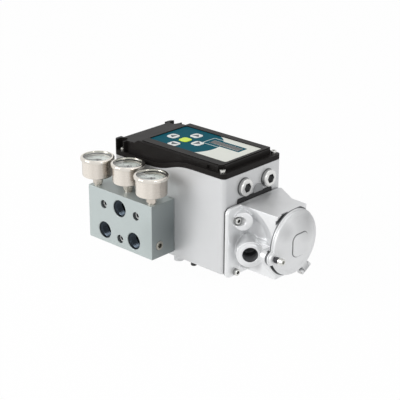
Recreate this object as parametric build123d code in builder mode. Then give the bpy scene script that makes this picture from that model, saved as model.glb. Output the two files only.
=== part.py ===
from build123d import *
import os
from math import cos, pi, radians, sin, sqrt, tan

# A digital valve positioner, in millimetres: a cast housing with a moulded keypad cover, a pneumatic
# manifold block with three pressure gauges on the front, and a hinged terminal box on the right end.
# The origin is the feedback shaft's axis on the plane of the four rear mounting bosses.
# X runs to the terminal box, Y away from the manifold block, Z up through the keypad.

# Rear mounting
MOUNT_PITCH_X = 50.0
MOUNT_PITCH_Y = 80.0
BOSS_HEIGHT = 9.0
BOSS_RADIUS = 6.2
BOSS_THREAD_RADIUS = 3.4
BOSS_THREAD_DEPTH = 12.0

# Housing
HOUSING_LENGTH = 184.0
HOUSING_WIDTH = 104.0
HOUSING_LEFT = -76.0
HOUSING_CORNER = 6.0
WALL = 5.0
FLOOR = 6.0
INNER_CORNER = 3.0
PARTING_LOW = 117.0
PARTING_RISE = 12.5
CURVE_START = -14.0
CURVE_LENGTH = 72.0

# Cover
GASKET_THICKNESS = 0.8
GASKET_INSET = 0.6
BAND = 5.5
COVER_WALL = 3.0
DECK_RISE = 7.2
SHOULDER_DROP = 5.8
DECK_THICKNESS = 5.0
DECK_INSET_END = 8.0
DECK_INSET_SIDE = 5.0
DECK_START = 35.0
DECK_STEP = 0.9
DECK_STEP_WIDTH = 3.0
SHOULDER_INSET = 2.5
LUG_LENGTH = 18.5
LUG_WIDTH = 13.0
COVER_SCREW_INSET_LEFT = 10.7
COVER_SCREW_INSET_RIGHT = 7.5
COVER_SCREW_INSET_SIDE = 6.0
NOTCH_RADIUS = 6.2
COVER_SCREW_RADIUS = 2.0
COVER_SCREW_HEAD_RADIUS = 3.5
COVER_SCREW_HEAD = 3.6
COVER_SCREW_DEPTH = 12.0
LIFT_SLOT_WIDTH = 5.0
LIFT_SLOT_DEPTH = 2.0
LIFT_SLOT_FROM_END = 20.0

# Keypad and display
LABEL_LENGTH = 125.5
LABEL_WIDTH = 66.5
LABEL_LEFT = 43.0
LABEL_OFFSET_Y = 1.2
LABEL_CORNER = 3.0
LABEL_RECESS = 1.6
LABEL_THICKNESS = 0.6
PAD_X = 2.3
PAD_Y = -4.7
KEY_PITCH = 20.3
KEY_SIZE = 13.6
KEY_CORNER = 4.0
KEY_PROUD = 0.6
KEY_THICKNESS = 1.8
KEY_TRAVEL = 0.6
KEY_GAP = 0.25
KEY_STEM_RADIUS = 2.5
KEY_STEM_LENGTH = 5.0
SLIDE_CLEARANCE = 0.08
LCD_LENGTH = 46.5
LCD_WIDTH = 11.0
LCD_X = 52.8
LCD_Y = 13.9
LCD_MARGIN = 3.0
LCD_GAP = 0.2
BOARD_THICKNESS = 1.6
DISPLAY_BOARD_LENGTH = 118.0
DISPLAY_BOARD_INSET = 25.0
DISPLAY_BOARD_X = 28.0
SWITCH_HEIGHT = 3.4
DISPLAY_POST_RADIUS = 2.6

# Feedback shaft, bearings and gears
SHAFT_RADIUS = 5.0
SHAFT_BELOW = 19.0
SPIGOT_RADIUS = 4.0
SPIGOT_LENGTH = 16.0
RUNNING_CLEARANCE = 0.05
BEARING_BOSS_RADIUS = 15.0
BEARING_BOSS_BOTTOM = 2.0
BUSH_RADIUS = 8.0
BUSH_LENGTH = 14.0
SEAL_RADIUS = 9.5
SEAL_THICKNESS = 4.0
COLLAR_RADIUS = 7.5
COLLAR_HEIGHT = 3.0
GEAR_MODULE = 1.0
GEAR_TEETH = 48
PINION_TEETH = 16
GEAR_Z = 30.0
GEAR_THICKNESS = 5.0
GEAR_BACKLASH = 0.3
PRESSURE_ANGLE = 20.0
HUB_RADIUS = 9.0
FRAME_Z = 44.0
FRAME_THICKNESS = 2.5
FRAME_LENGTH = 88.0
FRAME_SIDE_GAP = 17.0
FRAME_X = 14.0
FRAME_Y = 5.0
FRAME_LEG_RADIUS = 4.0
FRAME_LEG_INSET = 4.0
UPPER_BUSH_RADIUS = 7.5
UPPER_BUSH_LENGTH = 6.0
RING_THICKNESS = 1.2
POT_SHAFT_RADIUS = 3.0
POT_BUSHING_RADIUS = 4.5
POT_RADIUS = 12.0
POT_HEIGHT = 11.0
STANDOFF_RADIUS = 3.2
STANDOFF_HEIGHT = 39.5
MAIN_BOARD_LENGTH = 112.0
MAIN_BOARD_SIDE_GAP = 14.0
CONNECTOR_DEPTH = 8.0
CHIP_LENGTH = 18.0
CHIP_WIDTH = 14.0
CAPACITOR_RADIUS = 4.0
CAPACITOR_PITCH = 12.0
COMPONENT_HEIGHT = 6.0

# Pneumatics inside the housing
CONVERTER_LENGTH = 26.0
CONVERTER_SIDE_GAP = 22.0
CONVERTER_HEIGHT = 34.0
CONVERTER_GAP = 0.5
VALVE_LENGTH = 80.0
VALVE_DEPTH = 16.0
VALVE_HEIGHT = 24.0
VALVE_X = -20.0
VALVE_Z = 66.0
SPOOL_RADIUS = 4.0
SPOOL_OVERHANG = 6.0

# Manifold block and its fittings
BLOCK_LENGTH = 110.9
BLOCK_DEPTH = 38.8
BLOCK_HEIGHT = 69.3
BLOCK_LEFT = -81.7
BLOCK_BOTTOM = 16.5
BLOCK_EDGE = 0.5
BLOCK_GAP = 0.3
PORT_RADIUS = 10.4
PORT_MOUTH_RADIUS = 11.4
PORT_DEPTH = 18.0
PASSAGE_RADIUS = 3.5
UPPER_PORT_X = -26.8
UPPER_PORT_Z = 68.0
LOWER_PORT_Z = 32.2
LOWER_PORT_LEFT = 27.0
LOWER_PORT_RIGHT = 24.1
BLOCK_SCREW_SPREAD = 28.3
BLOCK_SCREW_UPPER_Z = 66.4
BLOCK_SCREW_LOWER_Z = 28.2
BLOCK_SCREW_RADIUS = 3.0
BLOCK_SCREW_HEAD_RADIUS = 5.0
BLOCK_SCREW_HEAD = 6.0
BLOCK_SCREW_SINK = 10.0
BLOCK_SCREW_BITE = 10.0
COUNTERBORE_CLEARANCE = 0.4
THREAD_CLEARANCE = 0.05
SIDE_PLUG_RADIUS = 5.8
SIDE_PLUG_PROUD = 1.0
SIDE_PLUG_LENGTH = 10.0
SIDE_PLUG_FROM_FRONT = 12.7
SIDE_PLUG_Z = 32.3
SEAL_WIRE = 1.8

# Pressure gauges
GAUGE_LEFT_INSET = 8.9
GAUGE_RIGHT_INSET = 8.2
GAUGE_FRONT_INSET = 8.3
GAUGE_MIDDLE_X = -28.4
GAUGE_BACK_GAP = 0.3
GAUGE_CASE_RADIUS = 19.2
GAUGE_CASE_HEIGHT = 20.4
GAUGE_CASE_WALL = 1.0
GAUGE_CASE_CORNER = 2.0
GAUGE_BEZEL_RADIUS = 21.2
GAUGE_BEZEL_HEIGHT = 4.4
GAUGE_WINDOW_RADIUS = 18.0
GAUGE_LENS_THICKNESS = 1.5
GAUGE_LENS_SINK = 0.9
GAUGE_DIAL_SINK = 6.3
GAUGE_DIAL_THICKNESS = 0.5
GAUGE_DIAL_RADIUS = 17.8
GAUGE_STEM_HEIGHT = 12.4
GAUGE_NECK_RADIUS = 4.9
GAUGE_NECK_HEIGHT = 2.6
GAUGE_FLATS = 11.0
GAUGE_FLATS_HEIGHT = 6.0
GAUGE_SHOULDER_RADIUS = 6.5
GAUGE_THREAD_RADIUS = 4.4
GAUGE_THREAD_LENGTH = 6.4
GAUGE_THREAD_RUNOUT = 0.4
GAUGE_SPIGOT = 4.0
GAUGE_TUBE_RADIUS = 1.4
GAUGE_TUBE_BEND = 11.5
POINTER_LENGTH = 13.5
POINTER_TAIL = 5.0
POINTER_THICKNESS = 0.5
POINTER_HUB_RADIUS = 1.9
POINTER_SHAFT_RADIUS = 0.6
POINTER_START = 225.0

# Plugs on the right end face, and the vent plug under the floor
END_PLUG_SPREAD = 21.2
END_PLUG_Y = 4.6
END_PLUG_DROP = 17.3
END_PLUG_HEAD_RADIUS = 10.6
END_PLUG_HEAD = 6.2
END_PLUG_ROUND = 2.0
END_PLUG_SOCKET = 10.5
END_PLUG_SOCKET_DEPTH = 4.2
END_PLUG_THREAD_RADIUS = 6.0
END_PLUG_THREAD = 9.0
VENT_X = 52.0
VENT_Y = -42.0
VENT_RADIUS = 3.8
VENT_LENGTH = 7.5

# Terminal box
TERMINAL_GASKET = 1.5
FLANGE_THICKNESS = 4.3
FLANGE_WIDTH = 102.7
FLANGE_BOTTOM = 4.7
FLANGE_DROP = 35.3
FLANGE_CORNER = 8.0
FLANGE_BEVEL = 2.0
BOX_FRONT = -27.0
BOX_BACK = 29.0
BOX_BOTTOM = 14.0
BOX_REACH = 53.2
BOX_EDGE = 2.5
FLARE_LENGTH = 30.0
FLARE_BACK = 48.0
SCOOP_RADIUS = 40.8
SCOOP_FLOOR_RADIUS = 24.0
SCOOP_DEPTH = 10.0
SCOOP_X = 121.5
SCOOP_Z = 52.5
SCOOP_BOTTOM = 54.0
CONDUIT_X = 138.0
CONDUIT_Y = -38.0
CONDUIT_Z = 40.5
CONDUIT_RADIUS = 9.2
CONDUIT_DEPTH = 27.0
CONDUIT_BOSS_RADIUS = 16.3
CONDUIT_LIP_RADIUS = 12.8
CONDUIT_LIP_STEP = 0.8
BLANK_X = 123.1
BLANK_Y = -34.0
BLANK_Z = 77.1
BLANK_RADIUS = 11.5
CHAMBER_WALL = 4.0
CHAMBER_START = 8.5
CHAMBER_RADIUS = 22.0
CHAMBER_NECK = 7.0
WIRE_PASS_RADIUS = 6.0
WIRE_PASS_Y = 14.0
WIRE_PASS_Z = 80.0
FLANGE_SCREW_Y = 36.8
FLANGE_SCREW_LOW_Z = 11.2
FLANGE_SCREW_DROP = 16.8
FLANGE_SCREW_RADIUS = 2.5
FLANGE_SCREW_HEAD_RADIUS = 4.2
FLANGE_SCREW_HEAD = 5.0
FLANGE_SCREW_BITE = 9.0
FLANGE_SCREW_POCKET = 5.8
GASKET_TAB_WIDTH = 62.0
GASKET_TAB_Y = 2.5
GASKET_TAB_RISE = 5.3
PAD_LOBE_RADIUS = 8.5
PAD_LOBE_Y = 8.5
PAD_LOBE_RISE = 6.8

# Round terminal cover
DISC_RADIUS = 40.5
DISC_Z = 55.5
DISC_GAP = 1.5
DISC_RIM = 3.2
DISC_STEP = 1.5
DISC_PLATE = 6.4
DOME_HEIGHT = 7.8
DOME_RADIUS = 33.0
DISC_WALL = 3.0
SEAT_HEIGHT = 1.1
SEAT_RADIUS = 26.0
COVER_SEAL_RADIUS = 24.0
COVER_SEAL_WIRE = 1.0
EMBLEM_SIZE = 27.5
EMBLEM_CORNER = 9.0
EMBLEM_STEP = 1.2
CLAMP_Y = -38.5
CLAMP_Z = 47.0
CLAMP_LUG_RADIUS = 9.0
BOX_LUG_RADIUS = 8.5
BOX_LUG_LENGTH = 8.0
CLAMP_RADIUS = 2.4
CLAMP_HOLE_CLEARANCE = 0.8
CLAMP_BITE = 5.0
CLAMP_HEAD_RADIUS = 4.2
CLAMP_HEAD = 5.6
CLAMP_STANDOFF = 7.2
CLAMP_SPRING_WIRE = 0.65
CLAMP_SPRING_TURNS = 3.0
HINGE_ANGLE = -61.0
HINGE_RADIUS = 46.5
HINGE_PIN_RADIUS = 1.6
HINGE_BARREL_RADIUS = 3.5
HINGE_KNUCKLE = 9.0
HINGE_EAR = 3.6
HINGE_GAP = 0.3
STRIP_DEPTH = 14.0
STRIP_WIDTH = 26.0
STRIP_HEIGHT = 46.0
STRIP_Y = 5.0
STRIP_Z = 48.0
STRIP_SCREWS = 6
STRIP_SCREW_RADIUS = 2.8

# Places worked out from the driving sizes
HOUSING_RIGHT = HOUSING_LEFT + HOUSING_LENGTH
HOUSING_MID = HOUSING_LEFT + HOUSING_LENGTH / 2
FRONT = -HOUSING_WIDTH / 2
BACK = HOUSING_WIDTH / 2
CAVITY_Z = BOSS_HEIGHT + FLOOR
PARTING_HIGH = PARTING_LOW + PARTING_RISE
CURVE_END = CURVE_START + CURVE_LENGTH
COVER_LOW = PARTING_LOW + GASKET_THICKNESS
COVER_HIGH = PARTING_HIGH + GASKET_THICKNESS
LEFT_SEAT = COVER_LOW + BAND
RIGHT_SEAT = COVER_HIGH + BAND
DECK_HEIGHT = RIGHT_SEAT + DECK_RISE
SHOULDER_HEIGHT = DECK_HEIGHT - SHOULDER_DROP
DECK_LEFT = HOUSING_LEFT + DECK_START
DECK_RIGHT = HOUSING_RIGHT - DECK_INSET_END
DECK_WIDTH = HOUSING_WIDTH - 2 * DECK_INSET_SIDE
COVER_SCREWS_LEFT = [
    (HOUSING_LEFT + COVER_SCREW_INSET_LEFT, side * (BACK - COVER_SCREW_INSET_SIDE)) for side in (-1, 1)
]
COVER_SCREWS_RIGHT = [
    (HOUSING_RIGHT - COVER_SCREW_INSET_RIGHT, side * (BACK - COVER_SCREW_INSET_SIDE)) for side in (-1, 1)
]
LABEL_FLOOR = DECK_HEIGHT - LABEL_RECESS
LABEL_TOP = LABEL_FLOOR + LABEL_THICKNESS
LABEL_X = HOUSING_LEFT + LABEL_LEFT + LABEL_LENGTH / 2
KEY_TOP = LABEL_TOP + KEY_PROUD
KEY_BOTTOM = KEY_TOP - KEY_THICKNESS
KEY_POCKET = KEY_BOTTOM - KEY_TRAVEL - 0.1
KEYS = {
    "key_left": (PAD_X - KEY_PITCH, PAD_Y),
    "key_right": (PAD_X + KEY_PITCH, PAD_Y),
    "key_down": (PAD_X, PAD_Y - KEY_PITCH),
    "key_up": (PAD_X, PAD_Y + KEY_PITCH),
    "key_enter": (PAD_X, PAD_Y),
}
KEY_STEM_BOTTOM = KEY_BOTTOM - KEY_STEM_LENGTH
SWITCH_TOP = KEY_STEM_BOTTOM - KEY_TRAVEL - 0.1
DISPLAY_BOARD_Z = SWITCH_TOP - SWITCH_HEIGHT - BOARD_THICKNESS
DECK_BOTTOM = DECK_HEIGHT - DECK_THICKNESS
DISPLAY_BOARD_WIDTH = HOUSING_WIDTH - 2 * DISPLAY_BOARD_INSET
DISPLAY_POSTS = [
    (DISPLAY_BOARD_X + i * (DISPLAY_BOARD_LENGTH / 2 - 4.0), j * (DISPLAY_BOARD_WIDTH / 2 - 4.0))
    for i in (-1, 1)
    for j in (-1, 1)
]
BUSH_BOTTOM = BEARING_BOSS_BOTTOM + SEAL_THICKNESS + 1.0
BUSH_TOP = BUSH_BOTTOM + BUSH_LENGTH
FRAME_TOP = FRAME_Z + FRAME_THICKNESS
FRAME_WIDTH = HOUSING_WIDTH - 2 * WALL - 2 * FRAME_SIDE_GAP
UPPER_BUSH_TOP = FRAME_Z + UPPER_BUSH_LENGTH
RING_Z = UPPER_BUSH_TOP + 0.3
SHAFT_TOP = RING_Z + RING_THICKNESS + 2.0
PINION_X = GEAR_MODULE * (GEAR_TEETH + PINION_TEETH) / 2
FRAME_LEGS = [
    (
        FRAME_X + i * (FRAME_LENGTH / 2 - FRAME_LEG_INSET),
        FRAME_Y + j * (FRAME_WIDTH / 2 - FRAME_LEG_INSET),
    )
    for i in (-1, 1)
    for j in (-1, 1)
]
MAIN_BOARD_Z = FRAME_TOP + STANDOFF_HEIGHT
MAIN_BOARD_WIDTH = HOUSING_WIDTH - 2 * WALL - 2 * MAIN_BOARD_SIDE_GAP
CONVERTER_WIDTH = HOUSING_WIDTH - 2 * WALL - 2 * CONVERTER_SIDE_GAP
VALVE_Y = FRONT + 2 * WALL + VALVE_DEPTH / 2
BLOCK_BACK = FRONT - BLOCK_GAP
BLOCK_FRONT = BLOCK_BACK - BLOCK_DEPTH
BLOCK_RIGHT = BLOCK_LEFT + BLOCK_LENGTH
BLOCK_MID = BLOCK_LEFT + BLOCK_LENGTH / 2
BLOCK_TOP = BLOCK_BOTTOM + BLOCK_HEIGHT
PORTS = [
    (UPPER_PORT_X, UPPER_PORT_Z),
    (UPPER_PORT_X - LOWER_PORT_LEFT, LOWER_PORT_Z),
    (UPPER_PORT_X + LOWER_PORT_RIGHT, LOWER_PORT_Z),
]
BLOCK_SCREWS = [
    (BLOCK_MID - BLOCK_SCREW_SPREAD, BLOCK_SCREW_UPPER_Z),
    (BLOCK_MID + BLOCK_SCREW_SPREAD, BLOCK_SCREW_UPPER_Z),
    (BLOCK_MID, BLOCK_SCREW_LOWER_Z),
]
SIDE_PLUG_Y = BLOCK_FRONT + SIDE_PLUG_FROM_FRONT
GAUGE_POSITIONS = [
    (BLOCK_LEFT + GAUGE_LEFT_INSET, BLOCK_FRONT + GAUGE_FRONT_INSET),
    (GAUGE_MIDDLE_X, FRONT - GAUGE_BEZEL_RADIUS - GAUGE_BACK_GAP),
    (BLOCK_RIGHT - GAUGE_RIGHT_INSET, BLOCK_FRONT + GAUGE_FRONT_INSET),
]
GAUGE_CASE_Z = BLOCK_TOP + GAUGE_STEM_HEIGHT
GAUGE_BEZEL_Z = GAUGE_CASE_Z + GAUGE_CASE_HEIGHT
GAUGE_TOP = GAUGE_BEZEL_Z + GAUGE_BEZEL_HEIGHT
GAUGE_DIAL_Z = GAUGE_TOP - GAUGE_DIAL_SINK
POINTER_Z = GAUGE_DIAL_Z + GAUGE_DIAL_THICKNESS + 1.0
END_PLUG_Z = PARTING_HIGH - END_PLUG_DROP
END_PLUGS = [(END_PLUG_Y + side * END_PLUG_SPREAD, END_PLUG_Z) for side in (-1, 1)]
FLANGE_X = HOUSING_RIGHT + TERMINAL_GASKET
FLANGE_FACE = FLANGE_X + FLANGE_THICKNESS
FLANGE_TOP = PARTING_HIGH - FLANGE_DROP
FLANGE_HEIGHT = FLANGE_TOP - FLANGE_BOTTOM
FLANGE_Z = (FLANGE_TOP + FLANGE_BOTTOM) / 2
BOX_END = FLANGE_FACE + BOX_REACH
BOX_TOP = FLANGE_TOP - 0.6
SCOOP_FLOOR_Y = BOX_FRONT + SCOOP_DEPTH
CHAMBER_X = FLANGE_X + CHAMBER_START
CHAMBER_END = BOX_END - CHAMBER_NECK
FLANGE_SCREW_HIGH_Z = FLANGE_TOP - FLANGE_SCREW_DROP
FLANGE_SCREWS = [
    (side * FLANGE_SCREW_Y, z) for side in (-1, 1) for z in (FLANGE_SCREW_LOW_Z, FLANGE_SCREW_HIGH_Z)
]
GASKET_TAB_TOP = FLANGE_TOP + GASKET_TAB_RISE
PAD_LOBE_Z = FLANGE_TOP + PAD_LOBE_RISE
WIRE_PASS = (WIRE_PASS_Y, WIRE_PASS_Z)
DISC_X = BOX_END + DISC_GAP
DISC_FACE = DISC_X + DISC_PLATE
DOME_TOP = DISC_FACE + DOME_HEIGHT
SPHERE_RADIUS = (DOME_RADIUS**2 + DOME_HEIGHT**2) / (2 * DOME_HEIGHT)
HINGE_Y = HINGE_RADIUS * cos(radians(HINGE_ANGLE))
HINGE_Z = DISC_Z + HINGE_RADIUS * sin(radians(HINGE_ANGLE))
HINGE_X = DISC_X + HINGE_BARREL_RADIUS
CLAMP_TIP = BOX_END - CLAMP_BITE
CLAMP_HEAD_X = DISC_FACE + CLAMP_STANDOFF

os.makedirs("parts", exist_ok=True)


def save(builder, name):
    """Label a finished piece and write it as its own STEP file."""
    builder.part.label = name
    export_step(builder.part, f"parts/{name}.step")


def parting_space(offset, above=True):
    """The space above or below the wavy joint between housing and cover, raised by an offset."""
    low = PARTING_LOW + offset
    high = PARTING_HIGH + offset
    middle = (CURVE_START + CURVE_END) / 2
    far_left = HOUSING_LEFT - HOUSING_LENGTH
    far_right = HOUSING_RIGHT + HOUSING_LENGTH
    limit = DECK_HEIGHT + HOUSING_WIDTH if above else BOSS_HEIGHT - HOUSING_WIDTH
    with BuildPart() as space:
        with BuildSketch(Plane.XZ):
            with BuildLine():
                Bezier((CURVE_START, low), (middle, low), (middle, high), (CURVE_END, high))
                Polyline(
                    (CURVE_END, high),
                    (far_right, high),
                    (far_right, limit),
                    (far_left, limit),
                    (far_left, low),
                    (CURVE_START, low),
                )
            make_face()
        extrude(amount=HOUSING_WIDTH, both=True)
    return space.part


def gear_outline(centre_x, teeth, phase):
    """Corner points of a spur gear with straight flanks, one tooth centred on the phase angle."""
    pitch_radius = GEAR_MODULE * teeth / 2
    half_pitch_width = (pi * GEAR_MODULE / 2 - GEAR_BACKLASH) / 2
    slope = tan(radians(PRESSURE_ANGLE))
    points = []
    for tooth in range(teeth):
        centre = radians(phase) + 2 * pi * tooth / teeth
        for height, side in ((-1.25, -1), (1.0, -1), (1.0, 1), (-1.25, 1)):
            radius = pitch_radius + height * GEAR_MODULE
            half_width = half_pitch_width - height * GEAR_MODULE * slope
            angle = centre + side * half_width / pitch_radius
            points.append((centre_x + radius * cos(angle), radius * sin(angle)))
    return points


def hex_socket_screw(plane, places, radius, length, head_radius, head, socket, sink=0.0):
    """Cap screws with their heads outward along the plane's normal, seated a little below it."""
    with BuildPart() as screws:
        for place in places:
            with BuildSketch(plane.offset(-sink)):
                with Locations(place):
                    Circle(head_radius)
            extrude(amount=head)
            with BuildSketch(plane.offset(head - sink)):
                with Locations(place):
                    RegularPolygon(socket / 2, 6, major_radius=False)
            extrude(amount=-head * 0.6, mode=Mode.SUBTRACT)
            with BuildSketch(plane.offset(-sink)):
                with Locations(place):
                    Circle(radius)
            extrude(amount=-length)
        rims = screws.edges().filter_by(GeomType.CIRCLE)
        rims = [e for e in rims if abs(e.radius - head_radius) < 0.01]
        rims = [e for e in rims if plane.to_local_coords(e.center()).Z > head - sink - 0.1]
        chamfer(rims, min(0.4, head / 8))
    return screws


# Housing shell
with BuildPart() as housing:
    with BuildSketch(Plane.XY.offset(BOSS_HEIGHT)):
        with Locations((HOUSING_MID, 0)):
            RectangleRounded(HOUSING_LENGTH, HOUSING_WIDTH, HOUSING_CORNER)
    extrude(amount=PARTING_HIGH - BOSS_HEIGHT)
    chamfer(housing.faces().sort_by(Axis.Z)[0].edges(), 1.2)
    with BuildSketch(Plane.XY.offset(CAVITY_Z)):
        with Locations((HOUSING_MID, 0)):
            RectangleRounded(HOUSING_LENGTH - 2 * WALL, HOUSING_WIDTH - 2 * WALL, INNER_CORNER)
    extrude(amount=PARTING_HIGH, mode=Mode.SUBTRACT)
    with BuildSketch(Plane.XY.offset(CAVITY_Z)):
        with Locations(*COVER_SCREWS_LEFT, *COVER_SCREWS_RIGHT):
            Circle(COVER_SCREW_INSET_SIDE - 1.0)
    extrude(amount=PARTING_HIGH - CAVITY_Z)
    add(parting_space(0), mode=Mode.SUBTRACT)
    for places, seat in ((COVER_SCREWS_LEFT, PARTING_LOW), (COVER_SCREWS_RIGHT, PARTING_HIGH)):
        with BuildSketch(Plane.XY.offset(seat)):
            with Locations(*places):
                Circle(COVER_SCREW_RADIUS + THREAD_CLEARANCE)
        extrude(amount=-COVER_SCREW_DEPTH, mode=Mode.SUBTRACT)
    with BuildSketch(Plane.XY):
        with GridLocations(MOUNT_PITCH_X, MOUNT_PITCH_Y, 2, 2):
            Circle(BOSS_RADIUS)
    extrude(amount=BOSS_HEIGHT + 1.0)
    with BuildSketch(Plane.XY):
        with GridLocations(MOUNT_PITCH_X, MOUNT_PITCH_Y, 2, 2):
            Circle(BOSS_THREAD_RADIUS)
    extrude(amount=BOSS_THREAD_DEPTH, mode=Mode.SUBTRACT)
    with BuildSketch(Plane.XY.offset(BEARING_BOSS_BOTTOM)):
        Circle(BEARING_BOSS_RADIUS)
    extrude(amount=BUSH_TOP - BEARING_BOSS_BOTTOM)
    with BuildSketch(Plane.XY.offset(BEARING_BOSS_BOTTOM)):
        Circle(SEAL_RADIUS)
    extrude(amount=BUSH_BOTTOM - BEARING_BOSS_BOTTOM, mode=Mode.SUBTRACT)
    with BuildSketch(Plane.XY.offset(BUSH_BOTTOM)):
        Circle(BUSH_RADIUS)
    extrude(amount=BUSH_LENGTH, mode=Mode.SUBTRACT)
    with BuildSketch(Plane.XY.offset(BOSS_HEIGHT)):
        with Locations((VENT_X, VENT_Y)):
            Circle(VENT_RADIUS - 1.0)
    extrude(amount=FLOOR, mode=Mode.SUBTRACT)
    with BuildSketch(Plane.XZ.offset(-FRONT - WALL)):
        with Locations(*BLOCK_SCREWS):
            Circle(BLOCK_SCREW_RADIUS + WALL)
    extrude(amount=-WALL)
    with BuildSketch(Plane.XZ.offset(-FRONT)):
        with Locations(*BLOCK_SCREWS):
            Circle(BLOCK_SCREW_RADIUS + THREAD_CLEARANCE)
        with Locations(*PORTS):
            Circle(PASSAGE_RADIUS)
    extrude(amount=-2 * WALL - 1.0, mode=Mode.SUBTRACT)
    with BuildSketch(Plane.YZ.offset(HOUSING_RIGHT - 2 * WALL)):
        with Locations(*END_PLUGS):
            Circle(END_PLUG_THREAD_RADIUS + WALL / 2)
        with Locations(*FLANGE_SCREWS):
            Circle(FLANGE_SCREW_RADIUS + WALL / 2)
    extrude(amount=2 * WALL)
    with BuildSketch(Plane.YZ.offset(HOUSING_RIGHT)):
        with Locations((PAD_LOBE_Y, PAD_LOBE_Z)):
            Circle(PAD_LOBE_RADIUS)
    extrude(amount=TERMINAL_GASKET)
    with BuildSketch(Plane.YZ.offset(HOUSING_RIGHT)):
        with Locations((GASKET_TAB_Y, (GASKET_TAB_TOP + FLANGE_BOTTOM) / 2)):
            Rectangle(GASKET_TAB_WIDTH, GASKET_TAB_TOP - FLANGE_BOTTOM)
    extrude(amount=TERMINAL_GASKET, mode=Mode.SUBTRACT)
    with BuildSketch(Plane.YZ.offset(HOUSING_RIGHT)):
        with Locations(*END_PLUGS):
            Circle(END_PLUG_THREAD_RADIUS + THREAD_CLEARANCE)
    extrude(amount=-2 * WALL - 1.0, mode=Mode.SUBTRACT)
    with BuildSketch(Plane.YZ.offset(HOUSING_RIGHT)):
        with Locations(*FLANGE_SCREWS):
            Circle(FLANGE_SCREW_RADIUS + THREAD_CLEARANCE)
    extrude(amount=-2 * WALL + 1.0, mode=Mode.SUBTRACT)
    with BuildSketch(Plane.YZ.offset(HOUSING_RIGHT)):
        with Locations(WIRE_PASS):
            Circle(WIRE_PASS_RADIUS)
    extrude(amount=-WALL, mode=Mode.SUBTRACT)
save(housing, "housing")

# Seal between housing and cover, which follows the wavy joint
with BuildPart() as cover_gasket:
    with BuildSketch(Plane.XY.offset(PARTING_LOW)):
        with Locations((HOUSING_MID, 0)):
            RectangleRounded(
                HOUSING_LENGTH - 2 * GASKET_INSET,
                HOUSING_WIDTH - 2 * GASKET_INSET,
                HOUSING_CORNER - GASKET_INSET,
            )
            RectangleRounded(
                HOUSING_LENGTH - 2 * WALL,
                HOUSING_WIDTH - 2 * WALL,
                INNER_CORNER,
                mode=Mode.SUBTRACT,
            )
        with Locations(*COVER_SCREWS_LEFT, *COVER_SCREWS_RIGHT):
            Circle(COVER_SCREW_INSET_SIDE - GASKET_INSET)
            Circle(COVER_SCREW_RADIUS + COUNTERBORE_CLEARANCE, mode=Mode.SUBTRACT)
    extrude(amount=PARTING_HIGH - PARTING_LOW + GASKET_THICKNESS)
    add(parting_space(GASKET_THICKNESS), mode=Mode.SUBTRACT)
    add(parting_space(0, above=False), mode=Mode.SUBTRACT)
save(cover_gasket, "cover_gasket")

# The cover's dome: a low shoulder at the left and a higher flat deck
with BuildPart() as dome:
    with BuildSketch(Plane.XZ):
        with BuildLine():
            Polyline(
                (HOUSING_LEFT + SHOULDER_INSET, COVER_LOW),
                (HOUSING_LEFT + SHOULDER_INSET, SHOULDER_HEIGHT - SHOULDER_INSET),
                (HOUSING_LEFT + 2 * SHOULDER_INSET, SHOULDER_HEIGHT),
                (DECK_LEFT - DECK_STEP_WIDTH, SHOULDER_HEIGHT + DECK_STEP),
                (DECK_LEFT + DECK_STEP_WIDTH, DECK_HEIGHT - DECK_STEP),
                (DECK_RIGHT, DECK_HEIGHT - DECK_STEP),
                (DECK_RIGHT, COVER_LOW),
                close=True,
            )
        make_face()
    extrude(amount=DECK_WIDTH / 2, both=True)
    fillet(dome.edges().filter_by(Axis.Z), DECK_INSET_SIDE)
    fillet(dome.faces().sort_by(Axis.Z)[-1].edges(), DECK_STEP)

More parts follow.
